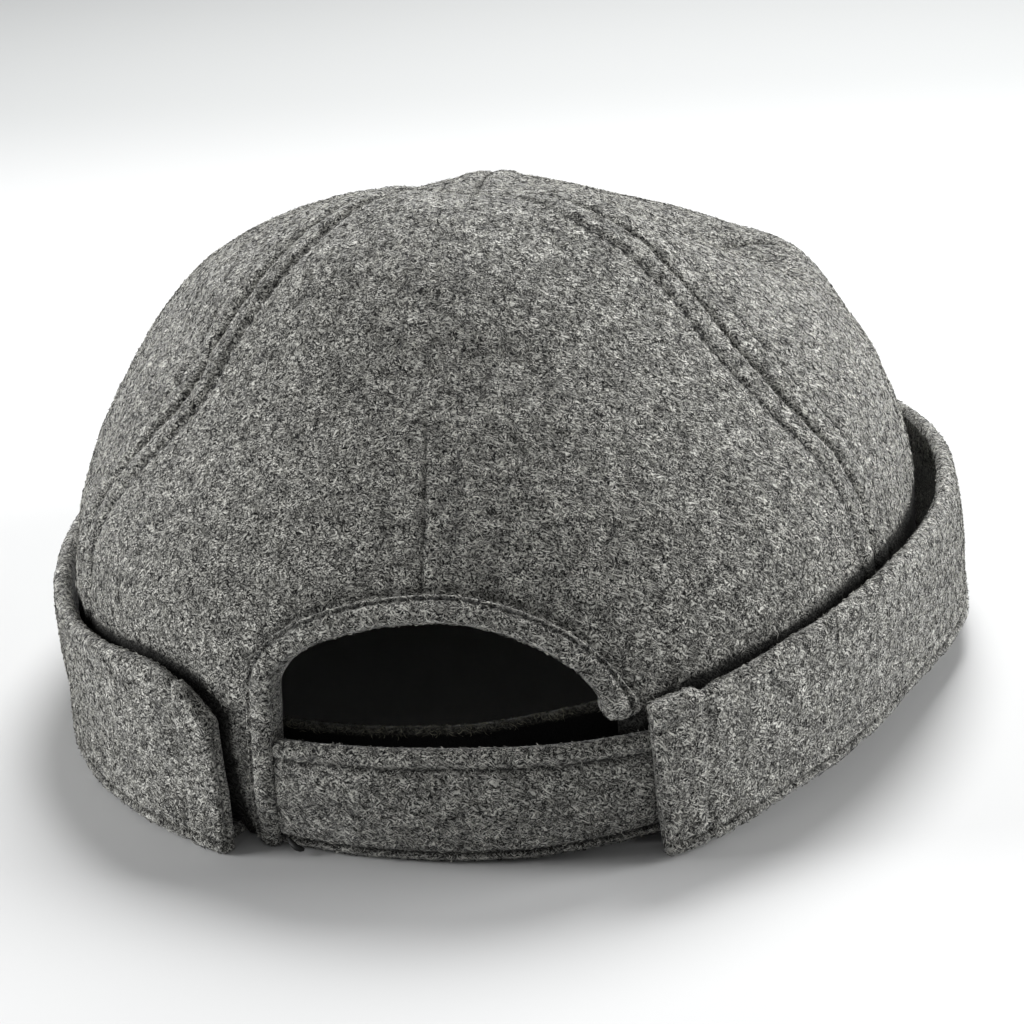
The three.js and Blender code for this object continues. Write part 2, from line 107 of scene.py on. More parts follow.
# %% Levels of the crown
CROWN_ROWS = table("height x y left right back front power", [
    (0, 0, 0, 84, 81, 98, 98, 2.15),
    (15, 0, 0, 88, 85, 101.5, 102, 2.15),
    (30, 0, 0, 89, 86, 101, 104, 2.15),
    (44, 0, 0, 87, 84, 98, 101, 2.15),
    (58, 0, 0, 82, 79.5, 90, 94, 2),
    (71, 1, -1, 73.5, 72, 80, 83, 1.85),
    (82, 3, -2, 63, 62.5, 69, 67, 1.8),
    (90, 4, 2, 52.5, 48, 56, 48, 1.85),
    (96, 5, 5, 38.5, 30.5, 41, 28, 2),
    (99.5, 5, 4, 20, 16, 24, 14, 2),
    (100, 5, 3, 0, 0, 0, 0, 2),
])
DENTS = table("x y z reach push", [
    (12, 27, 97, 27, (0, 0, 7.5)),
    (-26, 17, 95, 17, (-1, 0, 4.5)),
    (2, -4, 99, 16, (0, 0, -6)),
    (-35, -17, 90, 16, (0, 0, -7.5)),
    (-52, -22, 84, 14, (1, 0, -6.5)),
    (4, -42, 93, 16, (0, 0, 3)),
    (-60, -40, 76, 16, (-3, 0, 3)),
])


def smooth(rows, key, column, at):
    """The value of a column where the key column has the value at, on a curve through the rows."""
    places = np.array([row[key] for row in rows], float)
    values = np.array([row[column] for row in rows], float)
    rates = np.diff(values) / np.diff(places)
    before, after = rates[:-1], rates[1:]
    one_way = before * after > 0
    total = np.where(one_way, before + after, 1)
    inner = np.where(one_way, 2 * before * after / total, 0)
    slopes = np.concatenate([rates[:1], inner, rates[-1:]])
    at = np.asarray(at, float)
    i = np.clip(np.searchsorted(places, at) - 1, 0, len(rows) - 2)
    span = places[i + 1] - places[i]
    u = np.clip((at - places[i]) / span, 0, 1)
    start = values[i] * (1 + 2 * u) * (1 - u) ** 2
    end = values[i + 1] * u ** 2 * (3 - 2 * u)
    bend = slopes[i] * u * (1 - u) ** 2 - slopes[i + 1] * u ** 2 * (1 - u)
    return start + end + bend * span


def measure_way(rows):
    """Adds how far up the cloth each level lies, from 0 at the hem to 1 at the top."""
    heights = np.array([row["height"] for row in rows], float)
    reach = np.array([(row["left"] + row["right"] + row["back"] + row["front"]) / 4 for row in rows])
    lengths = np.concatenate([[0], np.cumsum(np.hypot(np.diff(heights), np.diff(reach)))])
    for row, length in zip(rows, lengths):
        row["way"] = length / lengths[-1]
    return lengths[-1]


print(f"cloth from hem to top: {measure_way(CROWN_ROWS):.0f} mm")

# %% [markdown]
# Two functions read that table. One gives a point on the crown's face for an angle and a way
# up, with the dents pressed into it. The other gives the direction square to the face, found
# from four points close by. Both take whole arrays, so a panel is worked out in one call.


# %% Points of the crown
def crown_point(angle, way):
    """Points on the crown's outer face."""
    angle, way = np.broadcast_arrays(np.asarray(angle, float), np.asarray(way, float))
    sine, cosine = np.sin(np.radians(angle)), np.cos(np.radians(angle))
    value = lambda column: smooth(CROWN_ROWS, "way", column, way)
    power = value("power")
    plan = (abs(sine) ** power + abs(cosine) ** power) ** (-1 / power)
    width = np.where(sine > 0, value("right"), value("left"))
    length = np.where(cosine > 0, value("back"), value("front"))
    point = np.stack([value("x") - sine * plan * width,
                      value("y") + cosine * plan * length, value("height")], axis=-1)
    pressed = point.copy()
    for dent in DENTS:
        distance = np.linalg.norm(point - (dent["x"], dent["y"], dent["z"]), axis=-1)
        pressed += np.exp(-(distance / dent["reach"]) ** 2)[..., None] * np.array(dent["push"])
    return pressed


def unit(vectors):
    """The same directions with length 1."""
    return vectors / np.maximum(np.linalg.norm(vectors, axis=-1, keepdims=True), 1e-9)


def crown_normal(angle, way):
    """The crown's outward direction, square to its face."""
    angle_step, way_step = 0.2, 0.002
    across = crown_point(angle + angle_step, way) - crown_point(angle - angle_step, way)
    up = crown_point(angle, np.minimum(way + way_step, 1)) - crown_point(angle, way - way_step)
    return unit(np.cross(across, up))


print("top of the crown:", crown_point(0, 1).round(1), "mm")

# %% [markdown]
# The pieces beside the crown are placed by their height and by how far they stand off it, so
# these functions turn a height into a way up and step out level from the face.

# %% Points beside the crown
LOWER_WAYS = np.linspace(0, 0.6, 400)
LOWER_HEIGHTS = smooth(CROWN_ROWS, "way", "height", LOWER_WAYS)


def way_at_height(height):
    """The way up at a height on the lower wall."""
    return np.interp(height, LOWER_HEIGHTS, LOWER_WAYS)


def outward(angle):
    """The level direction out of the crown at an angle."""
    turn = np.radians(np.asarray(angle, float))
    return np.stack([-np.sin(turn), np.cos(turn), np.zeros_like(turn)], axis=-1)


def beside_crown(angle, out, height):
    """A point beside the crown: out from its face, level, at a height."""
    angle, out, height = np.broadcast_arrays(*(np.asarray(v, float) for v in (angle, out, height)))
    return crown_point(angle, way_at_height(height)) + outward(angle) * out[..., None]


print("10 mm out from the back, 15 mm up:", beside_crown(0, 10, 15).round(1), "mm")

# %% [markdown]
# ## The cap's place in the frame
# The tables are measured from the axis of the head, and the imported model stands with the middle
# of its outline on the origin. One end of the strap is known in both, so it tells how far the
# two are apart. Nothing is fitted by eye.

# %% Strap tables and the shift to the frame
STRAP_ROWS = table("angle out bottom top", [
    (-21, 0.8, 0.4, 23.6),
    (-9, 1.3, 0.4, 24),
    (0, 1.7, 0.4, 24.2),
    (10, 2.3, 0.8, 24.2),
    (17, 2.6, 1.6, 24.2),
    (28.6, 2.6, 2.8, 24.2),
])
INNER_STRAP_ROWS = table("angle out bottom top", [
    (-28.5, -3.2, 0.6, 24.6),
    (-26.6, -5.3, 0.6, 24.6),
    (-12, -6.6, 0.6, 24.4),
    (0, -7.6, 0.6, 24.4),
    (12, -7.4, 0.8, 26),
    (25, -5, 1, 28),
    (28.5, -3.2, 1, 28),
])
STRAP_LEVELS = 5


def strap_end_corner(row):
    """The lowest x and y of the strap's right end."""
    levels = np.linspace(row["bottom"], row["top"], STRAP_LEVELS)
    faces = [beside_crown(row["angle"], row["out"] - depth, levels) for depth in (0, STRAP_THICKNESS)]
    return np.concatenate(faces).min(axis=0)


strap_low = np.array(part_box("strap_outer")[0]) / MM
SHIFT = strap_low - strap_end_corner(STRAP_ROWS[-1])
SHIFT[2] = 0
print("the head's axis stands at", SHIFT.round(2), "mm")

# %% [markdown]
# ## From arrays to closed pieces
# Each piece of cloth becomes one closed mesh. Two ways of building cover them all: a wall, which
# joins an outer and an inner grid of points round their edges, and a sweep, which carries one
# closed section along a row of stations. The grids of a wall may have different numbers of
# points, because the side of the cloth that shows needs far finer faces than the side that
# doesn't.


# %% From points to a finished object
SHARP_ANGLE = 60


def new_object(name, data):
    """A new object in the scene, with its data."""
    made = bpy.data.objects.new(name, data)
    scene.collection.objects.link(made)
    return made


def face_outwards(mesh):
    """Turns the faces of a closed mesh outwards and shades them smooth."""
    shell = bmesh.new()
    shell.from_mesh(mesh)
    bmesh.ops.recalc_face_normals(shell, faces=shell.faces)
    shell.to_mesh(mesh)
    shell.free()
    mesh.shade_smooth()


def finish_mesh(name, points, faces, material, cover=None, groove=None):
    """A closed mesh object from points in millimetres.

    cover says for each point how thickly the nap grows there, and the other attribute how much
    painted shade it gets in a seam, a row of stitches or a narrow gap, both from 0 to 1."""
    mesh = bpy.data.meshes.new(name)
    mesh.from_pydata(((points + SHIFT) * MM).tolist(), [], faces)
    for label, values in (("cover", cover), ("groove", groove)):
        if values is not None:
            mesh.attributes.new(label, "FLOAT", "POINT").data.foreach_set("value", values.ravel())
    face_outwards(mesh)
    mesh.set_sharp_from_angle(angle=math.radians(SHARP_ANGLE))
    mesh.materials.append(material)
    return new_object(name, mesh)


# %% Walls
def grid_faces(columns, rows, start=0):
    """Four-sided faces between the points of a grid, numbered column by column."""
    first = (np.arange(columns - 1)[:, None] * rows + np.arange(rows - 1)[None, :]).ravel() + start
    return np.stack([first, first + rows, first + rows + 1, first + 1], axis=1).tolist()


def grid_sides(columns, rows, start=0):
    """The four sides of a grid in order round its edge, as lists of point numbers."""
    number = np.arange(columns * rows).reshape(columns, rows) + start
    return [number[:, 0], number[-1, :], number[::-1, -1], number[0, ::-1]]


def zip_sides(a, b):
    """Faces between two rows of points with different counts."""
    faces, i, j = [], 0, 0
    while i < len(a) - 1 or j < len(b) - 1:
        if (i + 1) * (len(b) - 1) <= (j + 1) * (len(a) - 1) and i < len(a) - 1:
            faces.append([int(a[i]), int(a[i + 1]), int(b[j])])
            i += 1
        else:
            faces.append([int(a[i]), int(b[j + 1]), int(b[j])])
            j += 1
    return faces


def wall(outer, inner):
    """Points and faces of a closed wall between an outer and an inner grid."""
    start = outer.shape[0] * outer.shape[1]
    faces = grid_faces(*outer.shape[:2])
    faces += [face[::-1] for face in grid_faces(*inner.shape[:2], start)]
    for near, far in zip(grid_sides(*outer.shape[:2]), grid_sides(*inner.shape[:2], start)):
        faces += zip_sides(near, far)
    return np.concatenate([outer.reshape(-1, 3), inner.reshape(-1, 3)]), faces


# %% Sweeps
def sweep(stations):
    """Points and faces of a bar, from stations[station][corner] points."""
    count, corners = stations.shape[:2]
    number = np.arange(count * corners).reshape(count, corners)
    beside = np.roll(number, -1, axis=1)
    sides = np.stack([number[:-1], beside[:-1], beside[1:], number[1:]], axis=-1).reshape(-1, 4)
    ends = [number[0, ::-1].tolist(), number[-1].tolist()]
    return stations.reshape(-1, 3), sides.tolist() + ends


print("a bar of 3 square stations has", len(sweep(np.zeros((3, 4, 3)))[1]), "faces")

# %% [markdown]
# Three small functions shape all the relief of this cap: lumps for what is random, a bell for a
# line that is pressed in or stands out, and a soft step for what begins or ends somewhere. The
# cloth's unevenness is always a table of swells, each with its height, its size and a seed.


# %% Shapes of relief
def lumps(points, size, seed):
    """Smooth random swells of about this size, from -1 to 1, at each point."""
    flat = points.reshape(-1, 3) / size + seed
    return np.array([noise.noise(Vector(p)) for p in flat.tolist()]).reshape(points.shape[:-1])


def uneven(points, swells):
    """Swells of several sizes added together."""
    return sum(height * lumps(points, size, seed) for height, size, seed in swells)


def bell(distance, width):
    """A soft bump: 1 at no distance, falling to nothing over about twice the width."""
    return np.exp(-(distance / width) ** 2)


def ease(value, low, high):
    """0 below low, 1 above high, and a soft step between."""
    u = np.clip((value - low) / (high - low), 0, 1)
    return u * u * (3 - 2 * u)


print("a soft step from 0 to 1:", ease(np.linspace(0, 1, 5), 0, 1).round(2))

# %% [markdown]
# ## The finish: melton wool
# Melton is woven, then felted and brushed until its threads disappear. What the eye sees is a
# tangle of short light and dark fibres that lie in every direction. An image of cloth would need
# an image file, and plain noise looks like sand. Here each layer of noise is drawn out nine
# times along a direction of its own, so its peaks are short streaks, and only the peaks are
# kept. Fifteen such layers, some light and some dark, cross each other over a mottled grey. The
# place that the noise reads is bent a little first, so that the streaks curl as fibres do.


# %% Node helpers
MIX_INPUTS = (0, 6, 7)


class Nodes:
    """Adds nodes to a tree and joins them, so that a material reads as a list of steps."""

    def __init__(self, tree):
        self.tree = tree

    def add(self, kind, settings=(), **sockets):
        """A node of a kind, with its settings, and its inputs set or joined by their names."""
        node = self.tree.nodes.new(kind)
        for name, value in dict(settings).items():
            setattr(node, name, value)
        for name, value in sockets.items():
            self.set(node, name.replace("_", " "), value)
        return node

    def set(self, node, name, value):
        """Sets an input by name or number, to a value or to another node's output."""
        socket = node.inputs[name]
        if isinstance(value, bpy.types.NodeSocket):
            self.tree.links.new(value, socket)
        else:
            socket.default_value = value

    def fill(self, node, values):
        """Sets a node's first inputs in order."""
        for number, value in enumerate(values):
            self.set(node, number, value)
        return node

    def math(self, operation, *values):
        """One sum on numbers."""
        return self.fill(self.add("ShaderNodeMath", {"operation": operation}), values).outputs[0]

    def vector_math(self, operation, *values):
        """One sum on vectors."""
        node = self.fill(self.add("ShaderNodeVectorMath", {"operation": operation}), values)
        return node.outputs["Value" if operation == "DOT_PRODUCT" else "Vector"]

    def noise(self, vector, scale, detail, w, output="Fac"):
        """A noise pattern. w picks another pattern of the same kind."""
        node = self.add("ShaderNodeTexNoise", {"noise_dimensions": "4D"}, Vector=vector, W=w,
                        Scale=scale, Detail=detail, Roughness=0.5)
        return node.outputs[output]

    def remap(self, value, low, high, to_low=0.0, to_high=1.0):
        """A value taken from one range to another, with soft ends."""
        node = self.add("ShaderNodeMapRange", {"interpolation_type": "SMOOTHSTEP"}, Value=value)
        for name, number in zip(("From Min", "From Max", "To Min", "To Max"),
                                (low, high, to_low, to_high)):
            node.inputs[name].default_value = number
        return node.outputs["Result"]

    def blend(self, factor, a, b, mode="MIX"):
        """Two colours mixed by a factor."""
        node = self.add("ShaderNodeMix", {"data_type": "RGBA", "blend_type": mode})
        for number, value in zip(MIX_INPUTS, (factor, a, b)):
            self.set(node, number, value)
        return node.outputs[2]

    def end_material(self, **sockets):
        """The surface of a material, joined to its output."""
        skin = self.add("ShaderNodeBsdfPrincipled", **sockets)
        self.add("ShaderNodeOutputMaterial", Surface=skin.outputs[0])
        return skin


# %% New materials and their greys
def new_material(name):
    """An empty material and the helper that fills it."""
    material = bpy.data.materials.new(name)
    material.use_nodes = True
    material.node_tree.nodes.clear()
    return material, Nodes(material.node_tree)


def warm(warmth):
    """How much of red, green and blue a slightly warm grey has."""
    return 1 + 0.5 * warmth, 1.0, 1 - 4 * warmth


def grey(value, warmth=0.0):
    """A grey of a brightness, a little warm or cool."""
    return (*(value * share for share in warm(warmth)), 1.0)


print("light wool grey:", np.round(grey(0.68, 0.018), 3))

# %% [markdown]
# The ground of the cloth is a fine speckle, lighter and darker in broad patches, with a few
# brownish spots. The scales say how often each pattern repeats in a metre.

# %% Ground of the wool
PATTERN_SCALES = {"patches": 150, "mottle": 330, "bends": 460, "spots": 600, "flecks": 2300,
                  "streaks": 3500}
BEND = 0.0020
SPOT_STRENGTH = 0.45


def bent_place(n, place):
    """The place to read a pattern at, bent a little so that the pattern curls."""
    bends = n.noise(place, PATTERN_SCALES["bends"], 1.0, 3.3, "Color")
    centred = n.vector_math("SUBTRACT", bends, (0.5, 0.5, 0.5))
    return n.vector_math("MULTIPLY_ADD", centred, (BEND, BEND, BEND), place)


def wool_ground(n, place, flecks, base, warmth):
    """The colour of the cloth under its fibres."""
    patches = n.remap(n.noise(place, PATTERN_SCALES["patches"], 2.0, 1.0), 0.3, 0.7, 0.82, 1.18)
    speckle = n.remap(flecks, 0.36, 0.64, base * 0.25, base * 1.5)
    tone = n.math("MULTIPLY", speckle, patches)
    shares = [n.math("MULTIPLY", tone, share) for share in warm(warmth)]
    ground = n.fill(n.add("ShaderNodeCombineColor"), shares)
    spots = n.remap(n.noise(place, PATTERN_SCALES["spots"], 1.0, 9.1), 0.60, 0.70)
    brown = (base * 1.3, base * 0.95, base * 0.70, 1.0)
    return n.blend(n.math("MULTIPLY", spots, SPOT_STRENGTH), ground.outputs[0], brown)


print("patches repeat about every", round(1 / MM / PATTERN_SCALES["patches"], 1), "mm")

# %% [markdown]
# The fibres are the streaks. Two layers of three are light and one is dark. The first twelve are
# dimmed by three different shares, so the brightest fibres are few and lie on top. The first six
# layers also raise or lower the surface, which a Bump node shows. Every layer in the relief is
# worked out several times for each ray, and more of them cost time and don't show.

# %% Fibres of the wool
FIBRE_LAYERS = 15
RELIEF_LAYERS = 6
DIMMED_LAYERS = 12
STREAK_LENGTH = 9
STREAK_EDGE = (0.60, 0.655)
LIGHT_SHARES = (0.3, 0.55, 1.0)
LIGHT_RISE, DARK_RISE = 0.8, -0.7
GOLDEN_TURN = 2.39996


def streak_direction(number):
    """Directions spread evenly over half a sphere."""
    rise = (number + 0.5) / FIBRE_LAYERS
    turn = GOLDEN_TURN * number
    level = math.sqrt(1 - rise * rise)
    return np.array([level * math.cos(turn), level * math.sin(turn), rise])


def streaks(n, place, number):
    """One layer of fibres as a mask, from a noise drawn out along the layer's direction."""
    direction = streak_direction(7 * number % FIBRE_LAYERS)
    along = n.vector_math("DOT_PRODUCT", place, tuple(direction))
    squeeze = tuple(direction * (1 / STREAK_LENGTH - 1))
    drawn = n.vector_math("MULTIPLY_ADD", along, squeeze, place)
    return n.remap(n.noise(drawn, PATTERN_SCALES["streaks"], 0.0, 2.7 * number), *STREAK_EDGE)


def wool_fibres(n, place, colour, raised, light_tone, dark_tone):
    """All the layers laid over a colour, and how far they stand out."""
    for number in range(FIBRE_LAYERS):
        mask = streaks(n, place, number)
        is_light = number % 3 != 1
        share = LIGHT_SHARES[number * 2 % 3] if number < DIMMED_LAYERS else 1.0
        colour = n.blend(mask, colour, light_tone(share) if is_light else dark_tone)
        if number < RELIEF_LAYERS:
            rise = LIGHT_RISE if is_light else DARK_RISE
            raised = n.math("ADD", raised, n.math("MULTIPLY", mask, rise))
    return colour, raised


print("direction of the first layer of fibres:", streak_direction(0).round(2))

# %% [markdown]
# The wool material puts the two together under a soft mottle. The strap is the same wool,
# painted darker than the rest as painted shade, so the brightness of the ground and of the
# fibres are inputs. Where the cloth sinks into a seam or lies in a narrow gap, an attribute
# paints shade into its colour and takes its sheen away.

# %% Wool cloth material
# Painted shade: the tone and strength of the dark painted into seams, stitch rows and gaps.
GROOVE_SHADE_TONE = 0.008
GROOVE_SHADE_STRENGTH = 0.92
SHEEN = 0.45
FLECK_RISE = 0.5
BUMP_HEIGHT = 0.00025


def wool(name, base=0.060, light=0.68, dark=0.006, warmth=0.018):
    """Melton cloth of mixed light and dark fibres."""
    material, n = new_material(name)
    place = n.add("ShaderNodeTexCoord").outputs["Object"]
    flecks = n.noise(place, PATTERN_SCALES["flecks"], 1.0, 7.7)
    ground = wool_ground(n, place, flecks, base, warmth)
    raised = n.math("MULTIPLY", flecks, FLECK_RISE)
    colour, raised = wool_fibres(n, bent_place(n, place), ground, raised,
                                 lambda share: grey(light * share, warmth), grey(dark))
    mottle = n.remap(n.noise(place, PATTERN_SCALES["mottle"], 2.0, 5.9), 0.34, 0.66, 0.66, 1.24)
    colour = n.blend(1.0, colour, mottle, "MULTIPLY")
    # Painted shade: this attribute darkens the cloth in seams, rows of stitches and narrow gaps.
    groove = n.add("ShaderNodeAttribute", {"attribute_name": "groove"}).outputs["Fac"]
    colour = n.blend(n.math("MULTIPLY", groove, GROOVE_SHADE_STRENGTH), colour, grey(GROOVE_SHADE_TONE))
    veil = n.remap(groove, 0.0, 0.8, SHEEN, 0.0)
    bump = n.add("ShaderNodeBump", Height=raised, Strength=0.5, Distance=BUMP_HEIGHT)
    skin = n.end_material(Base_Color=colour, Roughness=0.92, Specular_IOR_Level=0.15,
                          Sheen_Weight=veil, Sheen_Roughness=0.45, Normal=bump.outputs[0])
    skin.inputs["Sheen Tint"].default_value = grey(0.9)
    return material


crown_wool = wool("melton_crown")
cuff_wool = wool("melton_cuff")
binding_wool = wool("melton_binding")
# Painted shade: the strap is the same wool, made darker because it lies in shade.
shaded_strap_wool = wool("melton_strap", base=0.048, light=0.60)
print("cloth materials:", [m.name for m in bpy.data.materials if m.name.startswith("melton")])

# %% [markdown]
# ## Seam profile
# Every crown seam is pressed open and stitched down on both sides. On the real cloth that leaves
# a narrow valley at the seam, a soft ridge on each side where the folded seam allowance lies
# under the face, and a fine row of dimples where the topstitching pulls the cloth in. It could
# be bump in a material, but the light rakes over these ridges and they show in the outline, so
# they are real relief: a function of the distance to the nearest seam.

# %% Relief near a seam
TOPSTITCH = 6.2
STITCH_PITCH = 2.9
SEAM_DEPTH = 0.7
SEAM_HALF_WIDTH = 0.5
RIDGE_HEIGHT = 0.40
STITCH_DEPTH = 0.50
STITCH_HALF_WIDTH = 1.0
SEAM_LINE = 0.35
STITCH_LINE = 0.5


def dimples(along, least):
    """How hard the thread pulls at a place along its row, from least to 1."""
    half = (1 - least) / 2
    return least + half + half * np.cos(2 * np.pi * along / STITCH_PITCH)


def seam_relief(distance, along, fullness):
    """How far the cloth stands out at a distance from a seam, with dimples along it."""
    valley = -SEAM_DEPTH * (0.3 + 0.7 * fullness) * bell(distance, SEAM_HALF_WIDTH)
    ridge = ease(distance, 0.3, 2.2) * (1 - ease(distance, TOPSTITCH - 1.6, TOPSTITCH))
    stitching = dimples(along, 0.3) * bell(distance - TOPSTITCH, STITCH_HALF_WIDTH)
    return valley + fullness * (RIDGE_HEIGHT * ridge - STITCH_DEPTH * stitching)


# Painted shade in the seam's valley and along the row of topstitching.
def seam_shade_lines(distance, along, fullness):
    """How much painted shade a place gets in the seam or in a row of topstitching, from 0 to 1."""
    fullness = min(fullness, 1)
    stitching = 0.75 * fullness * dimples(along, 0) * bell(distance - TOPSTITCH, STITCH_LINE)
    closed = 0.65 + 0.25 * np.sin(along / 2.1 + 3 * np.sin(along / 9))
    return (0.3 + 0.7 * fullness) * closed * bell(distance, SEAM_LINE) + stitching


print("relief 0, 3 and 6 mm from a seam:", seam_relief(np.array([0, 3, 6]), 0, 1).round(2), "mm")

# %% [markdown]
# ## The six crown panels
# Each panel is a wedge between two seams, drawn to a tip at the top. The table gives for each
# panel the angle of its first seam at five ways up, because the seams aren't straight, and how
# full its seams are. The cuff's table belongs here too: at each angle it gives the cuff's top
# and fold, and how far it stands off the crown, and the crown's hem stands on the fold.

# %% Tables of the panels and the cuff
SEAM_WAYS = [0, 0.3, 0.53, 0.75, 1]
PANELS = table("name fullness seam", [
    ("crown_panel_back_right", 0.25, (-1.6, -1.8, -0.8, 3.2, 3)),
    ("crown_panel_side_right", 1, (64, 63.5, 57, 66, 70)),
    ("crown_panel_front_right", 0.3, (120, 120, 118, 118, 118)),
    ("crown_panel_front_left", 0.7, (180, 180, 180, 180, 180)),
    ("crown_panel_side_left", 0.7, (240, 240, 242, 242, 240)),
    ("crown_panel_back_left", 1.5, (298, 299, 311, 312.5, 306)),
])
SEAMS = [table("way angle", zip(SEAM_WAYS, panel["seam"])) for panel in PANELS]
SEAMS.append(table("way angle", [(row["way"], row["angle"] + 360) for row in SEAMS[0]]))
CUFF_ROWS = table("angle top fold gap_top gap_fold slant", [
    (25.5, 30.5, 0.8, 3.2, 3.2, -1.6),
    (30, 32, 1.2, 3.2, 3, -0.6),
    (36, 33.5, 2, 1.8, 1.6, 0),
    (45, 35.2, 3.5, 1.2, 0.6, 0),
    (65, 38, 6, 2, 1.2, 0),
    (90, 37.5, 6.5, 4, 8, 0),
    (110, 36, 6, 5, 9, 0),
    (140, 34, 3, 4, 4, 0),
    (165, 34, 0, 2.4, 3, 0),
    (190, 34, 0, 2, 3, 0),
    (260, 34, 0, 0.7, 2, 0),
    (300, 32.2, 0, 1, 2, 0),
    (312, 33.4, 0, 1, 2, -0.2),
    (322, 35, 0, 1, 2, -0.4),
    (328, 33.4, 0, 1, 2, -0.5),
    (333, 27.4, 0, 1, 2, -0.6),
])
CUFF_FIRST, CUFF_LAST = CUFF_ROWS[0]["angle"], CUFF_ROWS[-1]["angle"]
FOLD_FROM = 30
FOLD_TO = 331
FOLD_SPLIT = 0.4


def hem_height(angle):
    """The crown's hem stands on the cuff's fold, and just over the table between its ends."""
    angle = np.asarray(angle, float)
    on_fold = (angle > FOLD_FROM - 2 * FOLD_SPLIT) & (angle < FOLD_TO + 2 * FOLD_SPLIT)
    fold = smooth(CUFF_ROWS, "angle", "fold", angle)
    return np.where(on_fold, fold + CLOTH + CLEARANCE, HEM_HEIGHT)


def seam_angle(seam, way):
    """A seam's angle at a way up."""
    return smooth(SEAMS[seam], "way", "angle", way)


print("hem at the back, the right and the front:", hem_height([0, 90, 180]), "mm")

# %% [markdown]
# A panel's grid is fine beside its seams, where the relief is, and coarser in its middle and
# behind the cuff. The back of the cloth is a plain, coarse grid 2.5 mm behind the face.

# %% Panel grids
SHOWN_HEIGHT = 25
FINE_STEP = 0.9
HIDDEN_STEP = 3.0
SEAM_STEP = 0.5
SEAM_REACH = 9
MIDDLE_STEP = 1.05
TOP_SHARE = 0.62
PANEL_WIDTH = 92
PANEL_TIP = 0.9975
SEAM_GAP = 0.06


def seam_columns():
    """Places across a panel from 0 to 1, close together beside both seams."""
    edge = np.arange(0, SEAM_REACH, SEAM_STEP)
    inner = PANEL_WIDTH - SEAM_REACH
    middle = np.linspace(SEAM_REACH, inner, round((inner - SEAM_REACH) / MIDDLE_STEP))
    return np.concatenate([edge, middle, PANEL_WIDTH - edge[::-1]]) / PANEL_WIDTH


def panel_rows(bottom_step):
    """Ways up a panel from 0 to 1, close together above the cuff."""
    length = CROWN_ROWS[-1]["height"] + CROWN_ROWS[2]["left"] * TOP_SHARE
    low = np.linspace(0, SHOWN_HEIGHT / length, round(SHOWN_HEIGHT / bottom_step), endpoint=False)
    high = np.linspace(SHOWN_HEIGHT / length, 1, round((length - SHOWN_HEIGHT) / FINE_STEP))
    return np.concatenate([low, high])


def panel_grid(index, shares, rows):
    """Angles and ways of a panel's points, and how wide the panel is at each."""
    first, last = seam_angle(index, 0), seam_angle(index + 1, 0)
    hem_ways = way_at_height(hem_height(first + (last - first) * shares))
    way = hem_ways[:, None] * (1 - rows) + PANEL_TIP * rows
    start, end = seam_angle(index, way), seam_angle(index + 1, way)
    middle = crown_point((start + end) / 2, way)
    axis = np.stack([smooth(CROWN_ROWS, "way", axis, way) for axis in ("x", "y")], axis=-1)
    radius = np.linalg.norm(middle[..., :2] - axis, axis=-1)
    inset = np.degrees(np.arcsin(np.minimum(SEAM_GAP / 2 / radius, 0.3)))
    angle = (start + inset) + (end - start - 2 * inset) * shares[:, None]
    return angle, way, radius * np.radians(end - start)


print("points across a panel:", len(seam_columns()), "and up it:", len(panel_rows(FINE_STEP)))

# %% [markdown]
# ## The outline of the half-moon opening
# The opening at the back has two legs and an arch of two different quarters. It is drawn before
# the panels are made, because the narrow gap between their cloth and the binding is dark.

# %% Outline of the opening
OPENING = {
    "left": {"half_width": 32.7, "flare": 1.8, "spring": 33, "exponent": 2},
    "right": {"half_width": 31.4, "flare": 0, "spring": 27.5, "exponent": 1.8},
}
OPENING_TOP = 48.2
ARCH_LENGTH = 84
BINDING_FACE = 3.3


def opening_edge(side, height):
    """How far the opening's left or right edge stands from the back centre, on its leg."""
    edge = OPENING[side]
    return edge["half_width"] + edge["flare"] * (1 - height / edge["spring"])


def opening_outline(left_foot, right_foot, step):
    """Places across and heights, from the left foot over the top to the right foot."""
    spring = OPENING["left"]["spring"]
    heights = np.linspace(left_foot, spring, max(round((spring - left_foot) / step), 1), endpoint=False)
    left_leg = np.stack([opening_edge("left", heights), heights], axis=1)
    turn = np.linspace(0, np.pi, round(ARCH_LENGTH / step))
    along, rise = np.cos(turn), np.maximum(np.sin(turn), 0)
    arch = []
    for share, up in zip(along, rise):
        edge = OPENING["left" if share > 0 else "right"]
        power = edge["exponent"]
        stretch = (abs(share) ** power + up ** power) ** (-1 / power)
        arch.append((edge["half_width"] * share * stretch,
                     edge["spring"] + (OPENING_TOP - edge["spring"]) * up * stretch))
    right_foot_point = np.array([[-opening_edge("right", right_foot), right_foot]])
    return np.concatenate([left_leg, arch, right_foot_point])


print("points of the outline:", len(opening_outline(0, 0, 1.0)))

# %% [markdown]
# ## The relief of a panel
# The face of a panel is moved along its own normal by the profiles of its two seams, by the
# puckers beside them, and by the lumps that felted wool always has: broad swells, finger-sized
# puffs and a fine unevenness. It is also set back a little, because the nap stands on it. The
# seam in the middle of the back fades upwards. Low on the left of the opening a shallow ledge
# shows, where the turned edge of the panel ends.

# %% Relief of a panel
CROWN_SWELLS = [(0.45, 17, 3.1), (0.22, 6.5, 11.7), (0.09, 2.2, 23.9)]
PUCKER_HEIGHT, PUCKER_SIZE, PUCKER_SEED = 0.26, 3.4, 47.3
PUCKER_REACH = 7
NARROW, WIDE = 6, 20
NAP_ROOM = 0.45
MIDDLE_FADE = (64, 84)
MIDDLE_LOSS = 0.65
LEDGE_HEIGHT = 17.5
LEDGE_ANGLES = (326, 343)
LEDGE_RISE, LEDGE_REACH, LEDGE_DIP = 0.55, 9, 0.25


